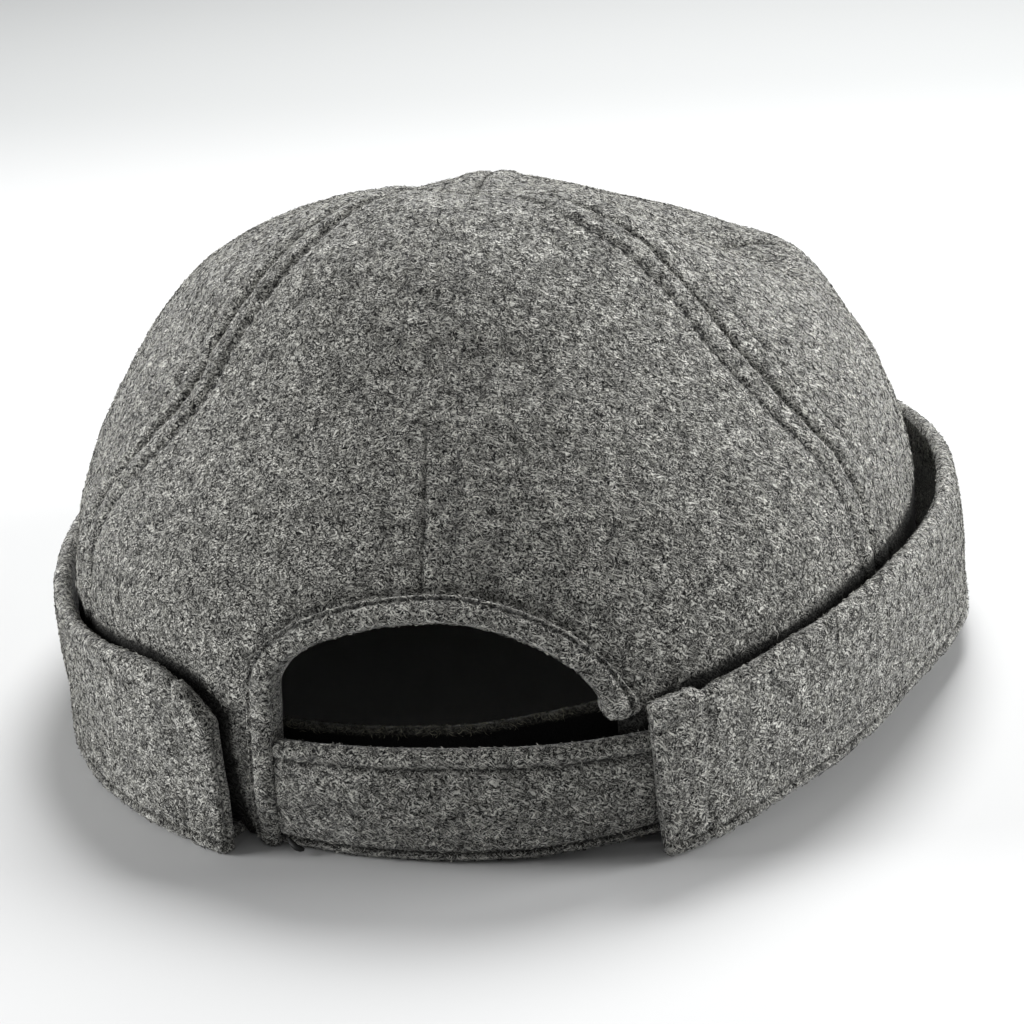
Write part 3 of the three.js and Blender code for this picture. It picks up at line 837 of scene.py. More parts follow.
def ledge_relief(angle, height):
    """The shallow ledge across the strip of crown beside the opening's left leg."""
    strip = ease(angle, LEDGE_ANGLES[0], LEDGE_ANGLES[0] + 2)
    strip = strip * (1 - ease(angle, LEDGE_ANGLES[1], LEDGE_ANGLES[1] + 2))
    above = ease(height, LEDGE_HEIGHT - 0.5, LEDGE_HEIGHT + 0.5)
    rise = LEDGE_RISE * above * (1 - ease(height, LEDGE_HEIGHT, LEDGE_HEIGHT + LEDGE_REACH))
    return strip * rise - strip * LEDGE_DIP * bell(height - LEDGE_HEIGHT + 0.8, 0.8)


def panel_relief(index, angle, width, shares, points):
    """How far a panel's face stands out from the smooth crown, and how much painted shade its seams give
    it.
    """
    height = points[..., 2]
    length = np.linalg.norm(np.diff(points, axis=1), axis=-1)
    along = np.concatenate([np.zeros((len(shares), 1)), np.cumsum(length, axis=1)], axis=1)
    room = ease(width, NARROW, WIDE)
    middle_seam = 1 - MIDDLE_LOSS * ease(height, *MIDDLE_FADE)
    relief, groove, beside = 0, 0, 0
    for seam, share in ((index, shares), ((index + 1) % len(PANELS), 1 - shares)):
        fullness = PANELS[seam]["fullness"]
        fade = middle_seam if seam == 0 else 1
        distance = width * share[:, None]
        relief = relief + fade * seam_relief(distance, along, fullness)
        groove = groove + fade * seam_shade_lines(distance, along, fullness)
        beside = beside + fullness * bell(distance, PUCKER_REACH)
    relief = relief * room - NAP_ROOM + uneven(points, CROWN_SWELLS)
    relief += beside * room * uneven(points, [(PUCKER_HEIGHT, PUCKER_SIZE, PUCKER_SEED)])
    if PANELS[index]["name"] == "crown_panel_back_left":
        relief += ledge_relief(angle, height)
    return relief, groove * room


print("the ledge stands out", round(float(ledge_relief(335, LEDGE_HEIGHT + 1)), 2), "mm")

# %% [markdown]
# Narrow gaps beside the cuff and the binding lie in shade on the real cap, because no light and
# no brush reaches them. The cloth there gets no nap, and its colour is darkened as painted shade.

# %% Painted shade in the gaps of a panel
KNOB_SHADE_TOP = (28, 30)
KNOB_SHADE_FROM = 9
BINDING_SHADE_STRENGTH = 0.8


def knob_corner_shade(angle, height):
    """Painted shade in the corner between the binding's knob, the strap and the cuff, from 0 to 1."""
    turn = angle % 360
    return (1 - ease(height, *KNOB_SHADE_TOP)) * (turn > KNOB_SHADE_FROM) * (turn < CUFF_FIRST + 1)


def panel_shade_in_gaps(index, angle, points):
    """How much painted shade a panel gets in the narrow gaps beside the cuff and the binding, from 0 to
    1.
    """
    height = points[..., 2]
    turn = angle % 360
    cuff_top = smooth(CUFF_ROWS, "angle", "top", angle)
    shade_behind_cuff = 1 - ease(height, cuff_top - 0.8, cuff_top + 0.7)
    gap = shade_behind_cuff * ease(turn, CUFF_FIRST - 0.9, CUFF_FIRST)
    gap = gap * (1 - ease(turn, CUFF_LAST, CUFF_LAST + 0.9))
    if PANELS[index]["name"].startswith("crown_panel_back"):
        edge = opening_outline(0, 0, 1.0)
        away = np.min(np.linalg.norm(points[..., None, ::2] - edge, axis=-1), axis=-1)
        gap = np.maximum(gap, BINDING_SHADE_STRENGTH * bell(away - BINDING_FACE - 0.4, 0.55))
        gap = np.maximum(gap, knob_corner_shade(angle, height))
    return gap


print("dark beside the knob:", float(knob_corner_shade(20, 26)), "and above it:", float(knob_corner_shade(20, 31)))

# %% [markdown]
# Each panel also gives the two rows along its seams where the stitches will lie. The nap covers
# what shows of its face, and is thinner in the grooves, where the thread holds it down.

# %% Panel pieces
MIDDLE_STITCHES_FROM = 53
STITCHED_WIDTH = 3.6 * TOPSTITCH
INNER_GRID = (19, 31)
THIN_NAP = 0.8


def stitch_path(outer, normal, width, shares, side, at_middle):
    """The row of topstitching beside one seam, as points and outward directions."""
    share = TOPSTITCH / width[0]
    wanted = 1 - share if side else share
    shown = outer[0, :, 2] > (MIDDLE_STITCHES_FROM if at_middle else SHOWN_HEIGHT)
    rows = np.flatnonzero((width[0] > STITCHED_WIDTH) & shown)
    pick = lambda grid: np.array([[np.interp(wanted[r], shares, grid[:, r, k]) for k in range(3)]
                                  for r in rows])
    return pick(outer), unit(pick(normal))


def panel_cover(angle, height, groove, gaps):
    """How thickly the nap grows: not behind the cuff, and little in seams and gaps."""
    turn = angle % 360
    cuff_is_open = (turn < CUFF_FIRST + 2) | (turn > CUFF_LAST - 2)
    bare_below = np.where(cuff_is_open, 0, smooth(CUFF_ROWS, "angle", "top", angle) - 1)
    cover = np.where(height > bare_below, 1 - THIN_NAP * np.minimum(groove, 1), 0)
    return cover * (1 - gaps)


def build_panel(index, material):
    """One crown panel as a closed wall of cloth, and its two rows of stitches."""
    name = PANELS[index]["name"]
    shares = seam_columns()
    rows = panel_rows(FINE_STEP if name.startswith("crown_panel_back") else HIDDEN_STEP)
    angle, way, width = panel_grid(index, shares, rows)
    points = crown_point(angle, way)
    relief, groove = panel_relief(index, angle, width, shares, points)
    gaps = panel_shade_in_gaps(index, angle, points)
    groove = np.maximum(groove, gaps)
    normal = crown_normal(angle, way)
    outer = points + normal * relief[..., None]
    at_middle = (index == 0, index == len(PANELS) - 1)
    paths = [stitch_path(outer, normal, width, shares, side, at_middle[side]) for side in (0, 1)]
    inner_angle, inner_way, _ = panel_grid(index, *(np.linspace(0, 1, count) for count in INNER_GRID))
    inner = crown_point(inner_angle, inner_way) - crown_normal(inner_angle, inner_way) * CLOTH
    cover = panel_cover(angle, points[..., 2], groove, gaps)
    cover = np.concatenate([cover.ravel(), np.zeros(inner_angle.size)])
    # Painted shade on the inside of the cloth beside the knob.
    groove = np.concatenate([groove.ravel(), knob_corner_shade(inner_angle, inner[..., 2]).ravel()])
    name = name.replace("crown_panel", "panel")
    return finish_mesh(name, *wall(outer, inner), material, cover, groove), paths


built = [build_panel(index, crown_wool) for index in range(len(PANELS))]
panels = [panel for panel, _ in built]
seam_paths = [path for _, paths in built for path in paths]
print("panel faces:", [len(panel.data.polygons) for panel in panels])

# %% [markdown]
# ## Cutting the opening
# The opening is cut through the two back panels, as a tailor would cut it after sewing the
# seam. A Boolean modifier takes the drawn-out outline away from each panel, and the result is
# kept as a plain mesh. The raw cut edge gets no nap and painted shade, where it isn't bound.

# %% Cut the opening
CUT_FOOT = -5
CUT_STEP = 1.2
CUT_DEPTHS = (50, 130)
CUT_EDGE = 1.2
LEG_POINTS = 30


def evaluated_mesh(piece):
    """A plain mesh of a piece with its modifiers applied."""
    made = bpy.data.meshes.new_from_object(piece.evaluated_get(bpy.context.evaluated_depsgraph_get()))
    piece.modifiers.clear()
    return made


def shade_cut_edge(mesh, outline):
    """Bare wool at the raw edge, painted dark as shade. The right leg has no points of its own, so it
    gets some.
    """
    spots = np.empty(3 * len(mesh.vertices))
    mesh.vertices.foreach_get("co", spots)
    spots = spots.reshape(-1, 3) / MM - SHIFT
    edge = np.concatenate([outline, np.linspace(outline[-2], outline[-1], LEG_POINTS)])
    away = np.min(np.linalg.norm(spots[:, None, ::2] - edge, axis=-1), axis=-1)
    for label, at_edge in (("cover", 0), ("groove", 1)):
        values = np.empty(len(spots))
        stored = mesh.attributes[label].data
        stored.foreach_get("value", values)
        stored.foreach_set("value", np.where(away < CUT_EDGE, at_edge, values))


def cut_opening(piece):
    """Takes the half-moon out of a back panel."""
    outline = opening_outline(CUT_FOOT, CUT_FOOT, CUT_STEP)
    sheets = [np.insert(outline, 1, depth, axis=1) for depth in CUT_DEPTHS]
    cutter = finish_mesh("opening_cutter", *sweep(np.array(sheets)), crown_wool)
    cut = piece.modifiers.new("Opening", "BOOLEAN")
    cut.operation = "DIFFERENCE"
    cut.solver = "EXACT"
    cut.object = cutter
    bpy.context.view_layer.update()
    trimmed = evaluated_mesh(piece)
    shade_cut_edge(trimmed, outline)
    piece.data = trimmed
    bpy.data.objects.remove(cutter)
    return len(trimmed.polygons)


for panel in (panels[0], panels[-1]):
    print(panel.name, "has", cut_opening(panel), "faces after the cut")

# %% [markdown]
# ## The cuff
# The cuff is the lower part of the cap turned up on the outside: two layers of cloth with a soft
# roll at the top. Its section is drawn as a hairpin with a foot, and carried round the cap. At
# both ends the layers are rounded off, so that two separate edges show, as on the real hem.

# %% Section of the cuff
LAYER = 1.85
ROLL = CUFF_THICKNESS / 2
SHOULDER = 1.8
FOLD_REACH = 5.6
FACE_POINTS = 34
ROLL_POINTS = 9
BACK_POINTS = 13
SLOT_POINTS = 6
CORNER_POINTS = 6


def arc(centre_out, centre_height, radius, start, end, count):
    """Points on a round corner, between two angles in degrees."""
    turn = np.radians(np.linspace(start, end, count))
    return np.stack([centre_out + radius * np.cos(turn), centre_height + radius * np.sin(turn)], axis=1)


def cuff_section(top, fold, gap_top, gap_fold, under_hem):
    """The hairpin section of the cuff as (out, height) points in order."""
    gap = lambda height: gap_fold + (gap_top - gap_fold) * (height - fold) / (top - fold)
    line = lambda low, high, count, shift: np.stack(
        [gap(np.linspace(low, high, count)) + shift, np.linspace(low, high, count)], axis=1)
    reach = -FOLD_REACH if under_hem else gap_fold
    foot_top = fold + CLOTH
    foot_gap = gap(foot_top)
    face = line(fold + SHOULDER, top - ROLL, FACE_POINTS, CUFF_THICKNESS)
    roll = arc(gap(top) + ROLL, top - ROLL, ROLL, 0, 180, ROLL_POINTS + 2)[1:-1]
    back = line(top - ROLL, foot_top + 0.4, BACK_POINTS, 0)
    lower_edge = [[foot_gap + 0.5, foot_top + 0.12], [foot_gap + LAYER - 0.5, foot_top + 0.12]]
    slot_up = line(foot_top + 0.5, top - ROLL - 0.6, SLOT_POINTS, LAYER)
    slot_down = line(top - ROLL - 0.6, foot_top + 0.3, SLOT_POINTS, CUFF_THICKNESS - LAYER)
    foot = [[foot_gap + CUFF_THICKNESS - LAYER - 0.4, foot_top], [gap_fold + 0.8, foot_top],
            [reach + 0.5, foot_top], [reach, foot_top - 0.6], [reach, fold + 0.6],
            [reach + 0.5, fold], [gap_fold + 0.9, fold]]
    corner = arc(gap_fold + CUFF_THICKNESS - SHOULDER, fold + SHOULDER, SHOULDER, -90, 0,
                 CORNER_POINTS + 1)[:-1]
    return np.concatenate([face, roll, back, lower_edge, slot_up, slot_down, foot, corner])


def section_normals(sections):
    """The outward direction of each point of closed sections, in the plane of the section."""
    along = np.roll(sections, -1, axis=-2) - np.roll(sections, 1, axis=-2)
    normals = unit(np.stack([along[..., 1], -along[..., 0]], axis=-1))
    x, y = sections[..., 0], sections[..., 1]
    area = (x * np.roll(y, -1, axis=-1) - np.roll(x, -1, axis=-1) * y).sum(axis=-1)
    return normals * np.sign(area)[..., None, None]


print("points round the cuff's section:", len(cuff_section(34, 0, 2, 3, True)))

# %% [markdown]
# The section is worked out at many angles round the cap, closer together at the two ends, where
# the edge is rounded, and where the fold begins, so that the underside starts with a clean step.

# %% Stations of the cuff
STATION_STEP = 0.62
END_STEP = 0.36
END_REACH = 9
CUFF_BASE_HEIGHT = 12


def cuff_stations():
    """Angles round the cap, closer together at the two ends and where the fold begins."""
    even = np.arange(CUFF_FIRST + END_REACH, CUFF_LAST - END_REACH, STATION_STEP)
    from_end = np.arange(0, END_REACH, END_STEP)
    ends = [np.arange(CUFF_FIRST, CUFF_FIRST + END_REACH, END_STEP), CUFF_LAST - from_end]
    rounding = STATION_STEP * (1 - np.cos(np.linspace(0, np.pi / 2, 6)[1:]))
    corners = [CUFF_FIRST + rounding, CUFF_LAST - rounding]
    folds = [edge + side * FOLD_SPLIT / 2 for edge in (FOLD_FROM, FOLD_TO) for side in (-1, 1)]
    return np.unique(np.concatenate([even, *ends, *corners, folds]).round(4))


def place_cuff(angle, sections):
    """Cuff sections set round the crown."""
    slant = smooth(CUFF_ROWS, "angle", "slant", angle)[:, None]
    out, height = sections[..., 0], sections[..., 1]
    turned = angle[:, None] + slant * height / CUFF_ROWS[0]["top"]
    points = beside_crown(turned, out, np.maximum(height, CUFF_BASE_HEIGHT))
    points[..., 2] = height
    return points


def cuff_sections(angle):
    """The sections at all the angles, with a slow wave in the height of the top."""
    value = lambda column: smooth(CUFF_ROWS, "angle", column, angle)
    under = (angle > FOLD_FROM) & (angle < FOLD_TO)
    wave = 0.5 * lumps(np.stack([angle, angle * 0, angle * 0], axis=-1), 21.0, 5.5)
    rows = zip(value("top") + wave, value("fold"), value("gap_top"), value("gap_fold"), under)
    return np.array([cuff_section(*row) for row in rows])


print("stations of the cuff:", len(cuff_stations()))

# %% [markdown]
# Five things shape the cuff's face: lumps, a pressed line just above its foot, a hem band at
# each end that is a little thicker than the rest, a lip along the top of the first end, and the
# line sewn under that lip. The nap grows on the face and over the roll. It also grows on the
# inside of the top where the cuff stands off the crown and can be seen from above.

# %% The cuff
CUFF_SWELLS = [(0.34, 15, 31.3), (0.18, 5.5, 41.9), (0.08, 2.1, 51.1)]
FOOT_LINE_HEIGHT = 2.6
HEM_BAND = 9.5
LIP_LENGTH = 8.5
LIP_DROP = 3.6
EDGE_ROUND = 0.72
INSIDE_POINTS = 4


def cuff_relief(from_first, from_last, height, below_top, points):
    """How far the cuff's face stands out, and how much painted shade its sewn and pressed lines get."""
    foot_line = bell(height - FOOT_LINE_HEIGHT, 0.55)
    relief = uneven(points, CUFF_SWELLS) - 0.45 * foot_line
    # Painted shade along the pressed line above the foot, the hem lines and the line under the lip.
    groove = 0.7 * foot_line
    for from_end in (from_first, from_last):
        hem_line = bell(from_end - HEM_BAND - 0.3, 0.9)
        relief += 0.35 * (1 - ease(from_end, HEM_BAND - 1.2, HEM_BAND)) - 0.30 * hem_line
        groove = groove + 0.25 * hem_line
    lip = 1 - ease(from_first, LIP_LENGTH - 1, LIP_LENGTH)
    relief += 0.55 * lip * (1 - ease(below_top, LIP_DROP - 0.6, LIP_DROP))
    lip_line = bell(below_top - LIP_DROP - 0.5, 0.6)
    lip_line = lip_line * (1 - ease(from_first, LIP_LENGTH + 1, LIP_LENGTH + 3))
    return relief - 0.4 * lip_line, groove + 0.4 * lip_line


def build_cuff(material):
    """The cuff, with its relief and its rounded ends."""
    angle = cuff_stations()
    sections = cuff_sections(angle)
    points = place_cuff(angle, sections)
    level = sections[..., 1]
    height = level - level.min(axis=1, keepdims=True)
    below_top = level.max(axis=1, keepdims=True) - level
    steps = np.linalg.norm(np.diff(points.mean(axis=1), axis=0), axis=-1)
    from_first = np.concatenate([[0], np.cumsum(steps)])[:, None]
    from_last = from_first[-1] - from_first
    relief, groove = cuff_relief(from_first, from_last, height, below_top, points)
    rolled = FACE_POINTS + ROLL_POINTS
    on_face = np.zeros(sections.shape[1])
    on_face[:rolled] = 1
    on_face[-CORNER_POINTS:] = 1
    groove = groove * on_face
    beyond_round = 1 - np.clip(np.minimum(from_first, from_last) / EDGE_ROUND, 0, 1)
    inward = EDGE_ROUND * (1 - np.sqrt(1 - beyond_round ** 2))
    out = relief * on_face - NAP_ROOM * on_face - inward
    moved = sections + section_normals(sections) * out[..., None]
    inside_top = np.zeros(sections.shape[1])
    inside_top[rolled:rolled + INSIDE_POINTS] = 1
    stands_off = ease(smooth(CUFF_ROWS, "angle", "gap_top", angle), 1.5, 3)[:, None]
    cover = on_face * (1 - THIN_NAP * groove) + inside_top * stands_off
    return finish_mesh("cuff_cloth", *sweep(place_cuff(angle, moved)), material, cover, groove)


cuff_cloth = build_cuff(cuff_wool)
print("cuff faces:", len(cuff_cloth.data.polygons))

# %% [markdown]
# ## The binding of the opening
# The cut edge is wrapped in a folded strip of the same wool. Seen from outside it is a soft
# round bead about 5 mm wide with a line of stitching near its outer edge. Its section is drawn
# with a few corners and rounded by cutting them, the way a folded cloth rounds itself, and is
# then carried along the edge of the opening. At the right it ends in a small rolled knob.

# %% Section of the binding
BINDING_BACK = 3.0
BINDING_EASE = 0.4
CORNER_CUTS = 3


def cut_corners(polygon, rounds):
    """A closed polygon with its corners rounded by cutting them again and again."""
    for _ in range(rounds):
        following = np.roll(polygon, -1, axis=0)
        cuts = [0.75 * polygon + 0.25 * following, 0.25 * polygon + 0.75 * following]
        polygon = np.stack(cuts, axis=1).reshape(-1, 2)
    return polygon


def binding_section():
    """The folded strip as (away from the edge, out from the face) points."""
    gap, thick, face = CLEARANCE, BINDING_THICKNESS, BINDING_FACE
    edge = -gap - thick
    back = -CLOTH - gap - BINDING_EASE
    return cut_corners(np.array([
        [face, gap], [face, gap + 0.8 * thick], [face - 1.0, gap + 0.95 * thick],
        [face - 2.6, gap + 1.2 * thick], [0, gap + 1.2 * thick], [edge, gap + 0.75 * thick],
        [edge, gap - 1], [edge, back + 1], [-gap - 0.8 * thick, back - 0.7 * thick],
        [0, back - thick], [BINDING_BACK, back - thick], [BINDING_BACK, back],
        [-gap, back], [-gap, back + 1], [-gap, gap - 1], [-gap, gap],
    ]), CORNER_CUTS)


print("points round the binding's section:", len(binding_section()))

# %% [markdown]
# The binding follows the outline of the opening on the crown's curved back. At each of its
# points it needs two directions: away from the opening, along the cloth, and out of the cloth.

# %% Path of the binding
BINDING_FOOT = 1.0
BINDING_RIGHT_END = 27.0
BINDING_STEP = 0.8
LAST_STEPS = 8


def side_width(across, way):
    """The crown's half width on the side of a place across its back."""
    return np.where(across < 0, smooth(CROWN_ROWS, "way", "right", way),
                    smooth(CROWN_ROWS, "way", "left", way))


def back_point(across, height):
    """The crown's face at a place across its back and a height."""
    across, height = np.asarray(across, float), np.asarray(height, float)
    way = way_at_height(height)
    power = smooth(CROWN_ROWS, "way", "power", way)
    share = (1 - abs(across / side_width(across, way)) ** power) ** (1 / power)
    return np.stack([across, smooth(CROWN_ROWS, "way", "back", way) * share, height], axis=-1)


def binding_path():
    """Where the binding runs, with its directions away from the edge and out of the cloth."""
    path = opening_outline(BINDING_FOOT, BINDING_RIGHT_END, BINDING_STEP)
    leg = np.linspace(0, 1, LAST_STEPS, endpoint=False)[1:, None]
    path = np.concatenate([path[:-1], path[-2] * (1 - leg) + path[-1] * leg, path[-1:]])
    x, z = path[:, 0], path[:, 1]
    spine = back_point(x, z)
    across = back_point(x + 0.2, z) - back_point(x - 0.2, z)
    up = back_point(x, z + 0.2) - back_point(x, z - 0.2)
    out = unit(np.cross(up, across))
    out *= np.sign(out[:, 1:2])
    along = np.gradient(spine, axis=0)
    return spine, unit(np.cross(out, along)), out


print("points along the binding:", len(binding_path()[0]))

# %% [markdown]
# Near its right end the section swells into the knob, and closes over the last two millimetres.
# The line of stitches is pressed into the face beside the bead's outer edge.

# %% Binding
BINDING_SWELLS = [(0.16, 5, 61.7), (0.07, 2, 71.3)]
BINDING_STITCH = 0.75
BINDING_GROOVE = 0.55
BINDING_CENTRE = np.array([0.6, -1.3])
BINDING_FACE_FROM = 0.4
BINDING_NAP_FROM = -1.5
KNOB_LENGTH = 6.0
KNOB_SWELL = 0.36
KNOB_CLOSE = 2.2


def knob_scale(to_end):
    """How large the section is at a distance from the binding's end."""
    swell = 1 + KNOB_SWELL * (1 - ease(to_end, 1.5, KNOB_LENGTH))
    closing = 1 - (1 - np.clip(to_end / KNOB_CLOSE, 0.0, 1)) ** 2
    return swell * np.sqrt(np.clip(closing, 0.04, 1))


def build_binding(material):
    """The bound edge of the opening, and its row of stitches."""
    spine, away, out = binding_path()
    section = binding_section()
    length = np.concatenate([[0], np.cumsum(np.linalg.norm(np.diff(spine, axis=0), axis=-1))])
    scale = knob_scale(length[-1] - length)[:, None, None]
    corners = BINDING_CENTRE + (section - BINDING_CENTRE) * scale
    place = lambda c: spine[:, None] + away[:, None] * c[..., :1] + out[:, None] * c[..., 1:]
    on_face = corners[..., 1] > BINDING_FACE_FROM
    # Painted shade along the pressed line of stitches beside the bead's outer edge.
    groove = bell(corners[..., 0] - BINDING_FACE + BINDING_STITCH, 0.5) * on_face
    groove = groove * dimples(length, 0.5)[:, None]
    relief = uneven(place(corners), BINDING_SWELLS) - BINDING_GROOVE * groove
    corners = corners + section_normals(corners) * relief[..., None]
    final = place(corners)
    from_stitch = abs(section[:, 0] - BINDING_FACE + BINDING_STITCH)
    row = np.argmin(from_stitch + 9 * (section[:, 1] < BINDING_FACE_FROM))
    stitched = length < length[-1] - KNOB_LENGTH
    cover = (corners[..., 1] > BINDING_NAP_FROM) * (1 - THIN_NAP * groove)
    piece = finish_mesh("binding_cloth", *sweep(final), material, cover, groove)
    return piece, (final[stitched, row], out[stitched])


binding_cloth, binding_stitch_path = build_binding(binding_wool)
print("binding faces:", len(binding_cloth.data.polygons))

# %% [markdown]
# ## The two straps
# The outer strap is doubled wool with a row of stitches near each long edge, so it is soft and
# puffy between the rows and rounded at its edges. The layer behind it is a dark facing cloth
# whose brushed edge shows as a thin brown line in the opening, with black painted below it as the
# shade in the gap behind the outer strap. Both are bars with a rounded section, carried from the
# binding's left leg to under the cuff's right end.

# %% Shape of a strap
STRAP_STATIONS = 112
STRAP_FACE_POINTS = 50
STRAP_BACK_POINTS = 9
STRAP_TOP_STITCH = 3.7
STRAP_FOOT_STITCH = 2.0


def angle_across(across, height):
    """The angle of a place across the back of the crown."""
    way = way_at_height(height)
    back = back_point(across, height)[..., 1] / smooth(CROWN_ROWS, "way", "back", way)
    return np.degrees(np.arctan2(-across / side_width(across, way), back))


def strap_section():
    """A band's section as (depth share, height share) points, with rounded long edges."""
    heights = np.linspace(0, 1, STRAP_FACE_POINTS)[1:-1]
    face = np.stack([np.zeros(len(heights)), heights], axis=1)
    top = np.array([[0.04, 0.985], [0.2, 1.0], [0.5, 1.0], [0.8, 1.0], [0.96, 0.985]])
    back = np.stack([np.ones(STRAP_BACK_POINTS), np.linspace(0.96, 0.04, STRAP_BACK_POINTS)], axis=1)
    foot = np.array([[0.96, 0.015], [0.8, 0], [0.5, 0], [0.2, 0], [0.04, 0.015]])
    return np.concatenate([face, top, back, foot])


def build_strap(name, rows, thickness, first_angle, relief_of, material):
    """A strap following its table. first_angle says where its left end is at each height."""
    shares = np.linspace(0, 1, STRAP_STATIONS)[:, None]
    section = strap_section()
    last = rows[-1]["angle"]
    middle = rows[0]["angle"] + (last - rows[0]["angle"]) * shares
    bottom, top = (smooth(rows, "angle", column, middle) for column in ("bottom", "top"))
    height = bottom + (top - bottom) * section[:, 1]
    start = first_angle(height)
    angle = start + (last - start) * shares
    out = smooth(rows, "angle", "out", angle) - thickness * section[:, 0]
    points = beside_crown(angle, out, height)
    face = 1 - ease(section[:, 0], 0.1, 0.5)
    relief, groove = relief_of(height - bottom, top - height, points)
    relief, groove = relief * face, groove * face
    points = points + outward(angle) * relief[..., None]
    cover = (section[:, 0] < 0.9) * (1 - THIN_NAP * groove)
    face = np.flatnonzero(section[:, 0] == 0)
    pick = lambda levels: np.array([
        [np.interp(level, height[i, face], points[i, face, k]) for k in range(3)]
        for i, level in enumerate(levels.ravel())])
    directions = outward(middle.ravel())
    stitch_levels = (top - STRAP_TOP_STITCH, bottom + STRAP_FOOT_STITCH)
    paths = [(pick(levels), directions) for levels in stitch_levels]
    return finish_mesh(name, *sweep(points), material, cover, groove), paths


print("points round a strap's section:", len(strap_section()))

# %% [markdown]
# The two straps differ in their relief. The wool one is pulled in along its stitches and at its
# long edges. The facing is plain and dark, and below its brown, brushed top edge it is painted
# black as shade.

# %% Straps
STRAP_SWELLS = [(0.20, 9, 81.5), (0.13, 4, 86.3), (0.08, 2, 91.3)]
FACING_SWELLS = [(0.10, 6, 95.3), (0.05, 2, 97.9)]
BINDING_SET_BACK = BINDING_THICKNESS + 2 * CLEARANCE


def strap_relief(from_foot, from_top, points):
    """Puffed cloth with two sewn grooves, and how much painted shade each point gets in them."""
    top_line = bell(from_top - STRAP_TOP_STITCH, 0.6)
    foot_line = bell(from_foot - STRAP_FOOT_STITCH, 0.6)
    relief = uneven(points, STRAP_SWELLS) - 0.50 * top_line - 0.60 * foot_line
    relief -= 0.55 * bell(from_top, 0.7) + 0.55 * bell(from_foot, 0.7)
    relief += 0.22 * bell(from_top - 1.7, 1.0)
    return relief, 0.75 * top_line + 0.95 * foot_line


def facing_relief(from_foot, from_top, points):
    """Plain dark cloth with a brushed brown edge at its top, painted black below it as shade."""
    return uneven(points, FACING_SWELLS), 1.25 * ease(from_top, 0.7, 1.8)


facing = wool("dark_facing", base=0.03, light=0.16, dark=0.004, warmth=0.035)
strap_cloth, strap_paths = build_strap(
    "strap_cloth", STRAP_ROWS, STRAP_THICKNESS,
    lambda height: angle_across(opening_edge("left", height) - BINDING_SET_BACK, height),
    strap_relief, shaded_strap_wool)
strap_facing, _ = build_strap(
    "strap_facing", INNER_STRAP_ROWS, INNER_STRAP_THICKNESS,
    lambda height: INNER_STRAP_ROWS[0]["angle"] + height * 0, facing_relief, facing)
print("strap faces:", len(strap_cloth.data.polygons), len(strap_facing.data.polygons))

# %% [markdown]
# ## Stitches by Geometry Nodes
# A stitch is a short thread that rises out of one dimple and sinks into the next. There are
# hundreds, so one is made and instanced along each row. The tree turns a path into a curve,
# divides it into equal steps, turns each stitch along the path with its back to the cloth, and
# realizes them all. A very long, thin, low-count sphere is enough for a thread of this size.


# %% Tree helpers
class TreeNodes(Nodes):
    """The same helper for a Geometry Nodes tree."""

    def random(self, low, high, seed, kind="FLOAT"):
        """A random value for each point or instance."""
        node = self.tree.nodes.new("FunctionNodeRandomValue")
        node.data_type = kind
        first = {"FLOAT_VECTOR": 0, "FLOAT": 2, "INT": 4}[kind]
        node.inputs[first].default_value = low
        node.inputs[first + 1].default_value = high
        self.set(node, "Seed", seed)
        return node.outputs[{"FLOAT_VECTOR": 0, "FLOAT": 1, "INT": 2}[kind]]


def new_tree(name, inputs):
    """An empty tree with named inputs, its helper, and its input and output nodes."""
    tree = bpy.data.node_groups.new(name, "GeometryNodeTree")
    tree.is_modifier = True
    tree.interface.new_socket("Geometry", in_out="INPUT", socket_type="NodeSocketGeometry")
    for label, kind in inputs.items():
        tree.interface.new_socket(label, in_out="INPUT", socket_type="NodeSocket" + kind)
    tree.interface.new_socket("Geometry", in_out="OUTPUT", socket_type="NodeSocketGeometry")
    n = TreeNodes(tree)
    return n, n.add("NodeGroupInput").outputs, n.add("NodeGroupOutput").inputs


def run_tree(tree, name, mesh, values):
    """A plain mesh object made by a tree from a mesh."""
    piece = new_object(name, mesh)
    modifier = piece.modifiers.new(tree.name, "NODES")
    modifier.node_group = tree
    for item in tree.interface.items_tree:
        if item.in_out == "INPUT" and item.name in values:
            modifier[item.identifier] = values[item.name]
    piece.data = evaluated_mesh(piece)
    return piece


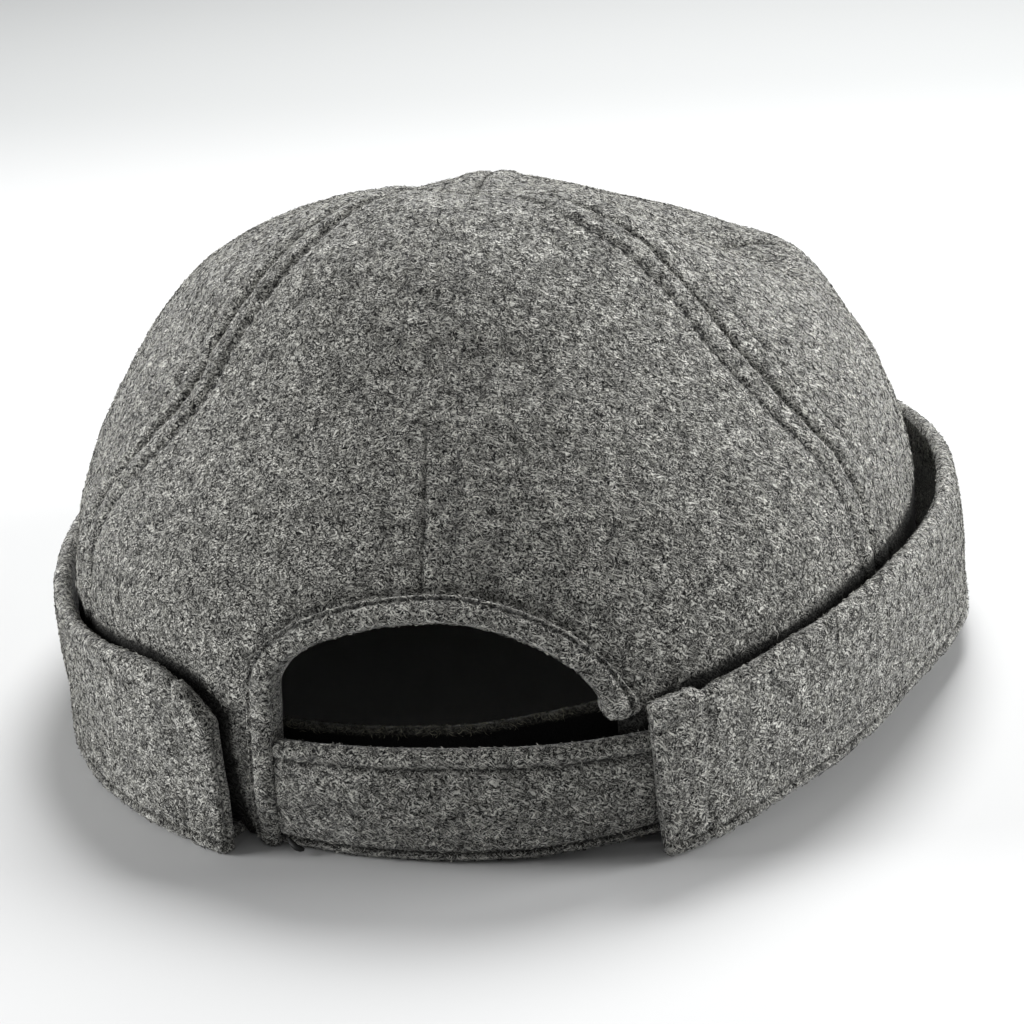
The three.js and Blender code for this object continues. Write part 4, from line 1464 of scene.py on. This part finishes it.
# %% Stitch tree
def stitch_tree():
    """Stitches along every path of a mesh of edges."""
    n, given, result = new_tree("Stitches", {"Pitch": "Float", "Length": "Float", "Thickness": "Float",
                                             "Seed": "Int", "Material": "Material"})
    curve = n.add("GeometryNodeMeshToCurve", Mesh=given["Geometry"])
    steps = n.add("GeometryNodeResampleCurve", {"mode": "LENGTH"}, Curve=curve.outputs[0],
                  Length=given["Pitch"])
    ball = n.add("GeometryNodeMeshUVSphere", Segments=6, Rings=5, Radius=0.5)
    size = n.add("ShaderNodeCombineXYZ", Z=given["Length"], X=given["Thickness"], Y=given["Thickness"])
    scaled = n.add("GeometryNodeTransform", Geometry=ball.outputs[0], Scale=size.outputs[0])
    thread = n.add("GeometryNodeTransform", Geometry=scaled.outputs[0], Rotation=(0, math.pi / 2, 0))
    normal = n.add("GeometryNodeInputNamedAttribute", {"data_type": "FLOAT_VECTOR"}, Name="face_out")
    tangent = n.add("GeometryNodeInputTangent")
    facing_out = n.add("FunctionNodeAxesToRotation", {"primary_axis": "Z", "secondary_axis": "X"})
    n.fill(facing_out, (normal.outputs[0], tangent.outputs[0]))
    sway = n.random((-0.05, -0.05, -0.10), (0.05, 0.05, 0.10), given["Seed"], "FLOAT_VECTOR")
    swayed = n.add("FunctionNodeRotateRotation", {"rotation_space": "LOCAL"})
    n.fill(swayed, (facing_out.outputs[0], sway))
    placed = n.add("GeometryNodeInstanceOnPoints", Points=steps.outputs[0], Instance=thread.outputs[0],
                   Rotation=swayed.outputs[0], Scale=n.random(0.88, 1.1, given["Seed"]))
    real = n.add("GeometryNodeRealizeInstances", Geometry=placed.outputs[0])
    dressed = n.add("GeometryNodeSetMaterial", Geometry=real.outputs[0], Material=given["Material"])
    n.tree.links.new(dressed.outputs[0], result[0])
    return n.tree


STITCHES = stitch_tree()
print("the stitch tree has", len(STITCHES.nodes), "nodes")

# %% [markdown]
# The tree works on a mesh of edges. Each row of stitches is one chain of edges in it, and every
# point carries the direction out of the cloth, which a curve alone wouldn't know.

# %% Sewing
STITCH_LENGTH = 2.3
STITCH_THICKNESS = 0.42
THREAD_RISE = -0.12


def path_mesh(name, paths):
    """A mesh of edges along several paths, with the outward direction stored on its points."""
    points = np.concatenate([path for path, _ in paths])
    normals = np.concatenate([normal for _, normal in paths])
    edges, start = [], 0
    for path, _ in paths:
        edges += [(start + i, start + i + 1) for i in range(len(path) - 1)]
        start += len(path)
    mesh = bpy.data.meshes.new(name)
    mesh.from_pydata(((points + normals * THREAD_RISE + SHIFT) * MM).tolist(), edges, [])
    mesh.attributes.new("face_out", "FLOAT_VECTOR", "POINT").data.foreach_set("vector", normals.ravel())
    return mesh


def sew(name, paths, material, seed):
    """All the stitches of one kind as one piece."""
    values = {"Pitch": STITCH_PITCH * MM, "Length": STITCH_LENGTH * MM,
              "Thickness": STITCH_THICKNESS * MM, "Seed": seed, "Material": material}
    return run_tree(STITCHES, name, path_mesh(name, paths), values)


# %% [markdown]
# The crown and the binding are sewn with grey thread, a little darker than the wool, and the
# strap with black. At this size a thread needs only fine strands, which a small noise gives in
# colour and relief, and a slight gloss.

# %% Thread material and stitches
STRAND_SCALE = 3200
STRAND_HEIGHT = 0.00008


def thread_finish(name, colour, dark_colour):
    """Twisted sewing thread."""
    material, n = new_material(name)
    place = n.add("ShaderNodeTexCoord").outputs["Object"]
    strands = n.noise(place, STRAND_SCALE, 1.0, 2.2)
    mixed = n.blend(n.remap(strands, 0.35, 0.65), dark_colour, colour)
    bump = n.add("ShaderNodeBump", Height=strands, Strength=0.5, Distance=STRAND_HEIGHT)
    n.end_material(Base_Color=mixed, Roughness=0.6, Normal=bump.outputs[0])
    return material


grey_thread = thread_finish("grey_thread", grey(0.10), grey(0.035))
black_thread = thread_finish("black_thread", grey(0.012), grey(0.004))
crown_stitches = sew("stitches_crown", seam_paths, grey_thread, 3)
binding_stitches = sew("stitches_binding", [binding_stitch_path], grey_thread, 5)
strap_stitches = sew("stitches_strap", strap_paths, black_thread, 7)
for sewn in (crown_stitches, binding_stitches, strap_stitches):
    print(sewn.name, len(sewn.data.polygons), "faces")

# %% [markdown]
# One end of the strap's black thread was left hanging at its lower left corner.

# %% Thread tail
TAIL = table("angle out height thickness", [
    (-20.9, 1.2, 2.6, 0.6),
    (-20.2, 2.2, 2.2, 1.1),
    (-19.5, 2.7, 1.7, 1.2),
    (-18.9, 2.6, 1.4, 1.2),
    (-18.6, 2.3, 1.2, 0.6),
])
TAIL_SIDES = 8


def build_tail(material):
    """A short loose end of thread."""
    spine = np.array([beside_crown(row["angle"], row["out"], row["height"]) for row in TAIL])
    along = unit(np.gradient(spine, axis=0))
    side = unit(np.cross(along, [0, 0, 1]))
    over = np.cross(side, along)
    turn = np.linspace(0, 2 * np.pi, TAIL_SIDES, endpoint=False)[None, :, None]
    radius = np.array([row["thickness"] / 2 for row in TAIL])[:, None, None]
    rings = spine[:, None] + radius * (np.cos(turn) * side[:, None] + np.sin(turn) * over[:, None])
    return finish_mesh("thread_tail", *sweep(rings), material)


thread_tail = build_tail(black_thread)
print("thread tail faces:", len(thread_tail.data.polygons))

# %% [markdown]
# ## The nap
# Felted wool ends in a nap of loose curled fibres. They break up the light on the face of the
# cloth and blur its outline, and no texture can do that second part. A few fibres are modelled
# as tapered, closed threads of six or twelve triangles. Geometry Nodes then scatters them
# over the cloth: points are spread at random where the cover attribute allows, each gets a
# fibre picked, turned and sized at random, and a random tone that the material reads.

# %% Fibre shapes
FIBRE_THICKNESS = 0.18
FIBRES = [
    [(-0.9, 0.0, 0.0), (0.0, 0.22, 0.16), (0.9, 0.0, 0.02)],
    [(-0.7, 0.0, 0.0), (0.05, -0.2, 0.20), (0.75, 0.1, 0.12)],
    [(-0.5, 0.0, 0.0), (0.05, 0.26, 0.14), (0.6, 0.05, 0.20)],
    [(-1.1, 0.1, 0.0), (-0.1, -0.12, 0.17), (1.0, 0.15, 0.05)],
    [(-0.6, -0.3, 0.0), (-0.3, 0.2, 0.15), (0.25, 0.3, 0.22), (0.5, -0.1, 0.15)],
    [(-0.1, 0.0, -0.05), (0.1, 0.1, 0.28), (0.5, 0.0, 0.46)],
]


def fibre_mesh(name, line):
    """A closed, tapered three-sided thread along a line of points."""
    line = np.array(line, float)
    along = unit(np.gradient(line, axis=0))
    side = unit(np.cross(along, [0, 0, 1]))
    over = np.cross(side, along)
    turn = np.radians([90, 210, 330])
    points = [line[0]]
    for spot, a, b in zip(line[1:-1], side[1:-1], over[1:-1]):
        points += [spot + FIBRE_THICKNESS / 2 * (a * math.cos(t) + b * math.sin(t)) for t in turn]
    points.append(line[-1])
    last = len(points) - 1
    faces = [(0, 1 + (i + 1) % 3, 1 + i) for i in range(3)]
    for ring in range(len(line) - 3):
        first = 1 + ring * 3
        for i in range(3):
            a, b = first + i, first + (i + 1) % 3
            faces += [(a, b, b + 3), (a, b + 3, a + 3)]
    faces += [(last, last - 3 + i, last - 3 + (i + 1) % 3) for i in range(3)]
    mesh = bpy.data.meshes.new(name)
    mesh.from_pydata((np.array(points) * MM).tolist(), [], faces)
    face_outwards(mesh)
    return mesh


fibre_shapes = bpy.data.collections.new("fibre_shapes")
for number, line in enumerate(FIBRES):
    shape_name = f"fibre_{number}"
    fibre_shapes.objects.link(bpy.data.objects.new(shape_name, fibre_mesh(shape_name, line)))


# %% Nap tree
def nap_tree(shapes):
    """Fibres scattered over a cloth."""
    n, given, result = new_tree("Nap", {"Density": "Float", "Least Size": "Float",
                                        "Greatest Size": "Float", "Seed": "Int", "Material": "Material"})
    cover = n.add("GeometryNodeInputNamedAttribute", {"data_type": "FLOAT"}, Name="cover")
    spread = n.add("GeometryNodeDistributePointsOnFaces", {"distribute_method": "RANDOM"},
                   Mesh=given["Geometry"], Seed=given["Seed"],
                   Density=n.math("MULTIPLY", cover.outputs[0], given["Density"]))
    picked = n.add("GeometryNodeCollectionInfo", Separate_Children=True, Reset_Children=True)
    picked.inputs["Collection"].default_value = shapes
    turn = n.random((-0.12, -0.12, 0.0), (0.12, 0.12, 2 * math.pi), 11, "FLOAT_VECTOR")
    turned = n.add("FunctionNodeRotateRotation", {"rotation_space": "LOCAL"})
    n.fill(turned, (spread.outputs["Rotation"], turn))
    share = n.random(0.0, 1.0, 13)
    size = n.add("ShaderNodeMapRange", Value=share)
    n.set(size, "To Min", given["Least Size"])
    n.set(size, "To Max", given["Greatest Size"])
    placed = n.add("GeometryNodeInstanceOnPoints", Points=spread.outputs["Points"],
                   Instance=picked.outputs[0], Pick_Instance=True,
                   Instance_Index=n.random(0, len(shapes.objects) - 1, 17, "INT"),
                   Rotation=turned.outputs[0], Scale=size.outputs[0])
    toned = n.add("GeometryNodeStoreNamedAttribute", {"data_type": "FLOAT", "domain": "INSTANCE"},
                  Geometry=placed.outputs[0], Name="tone")
    n.set(toned, "Value", n.random(0.0, 1.0, 19))
    real = n.add("GeometryNodeRealizeInstances", Geometry=toned.outputs[0])
    dressed = n.add("GeometryNodeSetMaterial", Geometry=real.outputs[0], Material=given["Material"])
    n.tree.links.new(dressed.outputs[0], result[0])
    return n.tree


NAP = nap_tree(fibre_shapes)
print("the nap tree has", len(NAP.nodes), "nodes")

# %% [markdown]
# Every piece of cloth is brushed with the same fibres. The cuff has its nap in two pieces, so
# that none gets too heavy, and the facing's is browner and denser, to soften its edge.


# %% Fibre material and the nap of each piece
def fibre_finish(name, dark, middle, light, warmth=0.02):
    """Single wool fibres: dark, grey or light by the tone that each one carries."""
    material, n = new_material(name)
    tone = n.add("ShaderNodeAttribute", {"attribute_name": "tone"}).outputs["Fac"]
    lower = n.blend(n.remap(tone, 0.25, 0.40), grey(dark, warmth), grey(middle, warmth))
    colour = n.blend(n.remap(tone, 0.52, 0.90), lower, grey(light, warmth))
    n.end_material(Base_Color=colour, Roughness=0.75, Specular_IOR_Level=0.2)
    return material


grey_fibre = fibre_finish("wool_fibre", 0.012, 0.16, 0.66)
brown_fibre = fibre_finish("facing_fibre", 0.03, 0.11, 0.30, 0.055)
NAP_DENSITY = 1.7
FACING_NAP_DENSITY = 3.0
LEAST_FIBRE, GREATEST_FIBRE = 0.6, 1.1


def brush(cloth, name, material, seed, density=NAP_DENSITY):
    """The nap of one piece of cloth, with so many fibres on a square millimetre."""
    values = {"Density": density / MM ** 2, "Least Size": LEAST_FIBRE,
              "Greatest Size": GREATEST_FIBRE, "Seed": seed, "Material": material}
    return run_tree(NAP, name, cloth.data.copy(), values)


naps = [brush(panel, panel.name.replace("panel", "nap"), grey_fibre, 100 + number)
        for number, panel in enumerate(panels)]
cuff_naps = [brush(cuff_cloth, name, grey_fibre, 200 + side, NAP_DENSITY / 2)
             for side, name in enumerate(("nap_cuff_first", "nap_cuff_second"))]
binding_nap = brush(binding_cloth, "nap_binding", grey_fibre, 201)
strap_nap = brush(strap_cloth, "nap_strap", grey_fibre, 202)
facing_nap = brush(strap_facing, "nap_strap_facing", brown_fibre, 203, FACING_NAP_DENSITY)
for shape in list(fibre_shapes.objects):
    bpy.data.objects.remove(shape)
for nap in [*naps, *cuff_naps, binding_nap, strap_nap, facing_nap]:
    print(nap.name, len(nap.data.polygons), "triangles")

# %% [markdown]
# ## Floor and light
# The cap lies on a plain pale table that reaches past every edge of the picture, and is painted
# a little darker far behind the cap as painted shade. A large softbox hangs high on the cap's
# front side, so the back that we look at is in soft shade and the shadow falls towards us. Two
# low softboxes light the flanks. A dim even sky fills the rest.

# %% Floor
FLOOR_RADIUS = 4.0
FLOOR_SIDES = 64
SHADE_FROM, SHADE_TO = -0.32, -0.58
NEAR_FLOOR = (0.685, 0.69, 0.692, 1)
FAR_FLOOR_SHADE = (0.54, 0.55, 0.55, 1)


def build_floor():
    """A round table top, painted darker far behind the cap as shade."""
    mesh = bpy.data.meshes.new("floor")
    turns = np.linspace(0, 2 * np.pi, FLOOR_SIDES, endpoint=False)
    rim = [(FLOOR_RADIUS * math.cos(t), FLOOR_RADIUS * math.sin(t), 0) for t in turns]
    mesh.from_pydata(rim, [], [list(range(len(rim)))])
    material, n = new_material("pale_table")
    place = n.add("ShaderNodeSeparateXYZ", Vector=n.add("ShaderNodeTexCoord").outputs["Object"])
    # Painted shade: the table's colour darkens from the near grey to the far grey behind the cap.
    near = n.remap(place.outputs["Y"], SHADE_TO, SHADE_FROM)
    n.end_material(Base_Color=n.blend(near, FAR_FLOOR_SHADE, NEAR_FLOOR), Roughness=0.6)
    mesh.materials.append(material)
    return new_object("floor", mesh)


build_floor()
print("the table is", 2 * FLOOR_RADIUS, "m wide")

# %% Lights
CAP_MIDDLE = (0, 0, 0.03)
SOFTBOXES = table("name place size power", [
    ("high_softbox", (-0.1, -0.65, 1.0), 0.6, 16),
    ("left_softbox", (1.0, 0.15, 0.33), 0.5, 8.5),
    ("right_softbox", (-1.0, -0.12, 0.33), 0.5, 8.5),
])
SKY_STRENGTH = 0.19

for box in SOFTBOXES:
    light = bpy.data.lights.new(box["name"], "AREA")
    light.shape = "DISK"
    light.size = box["size"]
    light.energy = box["power"]
    lamp = new_object(box["name"], light)
    lamp.location = box["place"]
    lamp.rotation_mode = "QUATERNION"
    lamp.rotation_quaternion = (Vector(CAP_MIDDLE) - Vector(box["place"])).to_track_quat("-Z", "Y")
    print(box["name"], box["power"], "W")

world = bpy.data.worlds.new("studio")
world.use_nodes = True
background = world.node_tree.nodes["Background"]
background.inputs["Color"].default_value = (1, 1, 1, 1)
background.inputs["Strength"].default_value = SKY_STRENGTH
scene.world = world
scene.view_settings.view_transform = "Standard"

# %% [markdown]
# ## The camera
# The camera stands behind the cap, a little to one side and above it, and is tilted slightly,
# so the table seems to slope. Its direction is built from three unit vectors: backwards, to
# the right and up, the last two rolled by the tilt.

# %% Camera
CAMERA_AZIMUTH, CAMERA_ELEVATION, CAMERA_ROLL = 188.5, 21.0, -4.0
CAMERA_DISTANCE = 580
AIM_HEIGHT = 27
SENSOR_WIDTH = 36
LENS = 96
SHIFT_X, SHIFT_Y = 0.003, 0.0147


def build_camera():
    """The camera at the photo's angle."""
    azimuth, elevation, roll = np.radians([CAMERA_AZIMUTH, CAMERA_ELEVATION, CAMERA_ROLL])
    level = math.cos(elevation)
    back = np.array([math.sin(azimuth) * level, -math.cos(azimuth) * level, math.sin(elevation)])
    aim = np.array([SHIFT[0], SHIFT[1], AIM_HEIGHT])
    place = aim + back * CAMERA_DISTANCE
    right = unit(np.cross(-back, [0, 0, 1]))
    up = np.cross(right, -back)
    rolled_right = right * math.cos(roll) + up * math.sin(roll)
    rolled_up = up * math.cos(roll) - right * math.sin(roll)
    data = bpy.data.cameras.new("camera")
    data.lens = LENS
    data.sensor_width = SENSOR_WIDTH
    data.shift_x = SHIFT_X
    data.shift_y = SHIFT_Y
    camera = new_object("camera", data)
    turn = Matrix(np.stack([rolled_right, rolled_up, back], axis=1).tolist()).to_4x4()
    camera.matrix_world = Matrix.Translation(Vector(place * MM)) @ turn
    scene.camera = camera
    return place


print("camera at", np.round(build_camera()), "mm")

# %% [markdown]
# ## Dressing the frame
# Each visual piece is tied to the root body of the part, and the ten pieces of cloth take the
# place of their nodes, which are hidden. The pieces are listed in groups by their wool, and the
# triangles of each group are printed.

# %% Dress
for panel, row in zip(panels, PANELS):
    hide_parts(row["name"])
for piece, node in ((cuff_cloth, "cuff"), (binding_cloth, "opening_binding"),
                    (strap_cloth, "strap_outer"), (strap_facing, "strap_inner")):
    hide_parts(node)
SLOTS = {
    "wool_crown": [*panels, *naps, crown_stitches],
    "wool_cuff": [cuff_cloth, *cuff_naps],
    "wool_binding": [binding_cloth, binding_nap, binding_stitches],
    "wool_strap": [strap_cloth, strap_nap, strap_stitches, thread_tail],
    "inner_cloth": [strap_facing, facing_nap],
}
for slot, pieces in SLOTS.items():
    triangles = 0
    for piece in pieces:
        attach(piece, "root")
        triangles += sum(len(face.vertices) - 2 for face in piece.data.polygons)
    print(slot, triangles, "triangles")
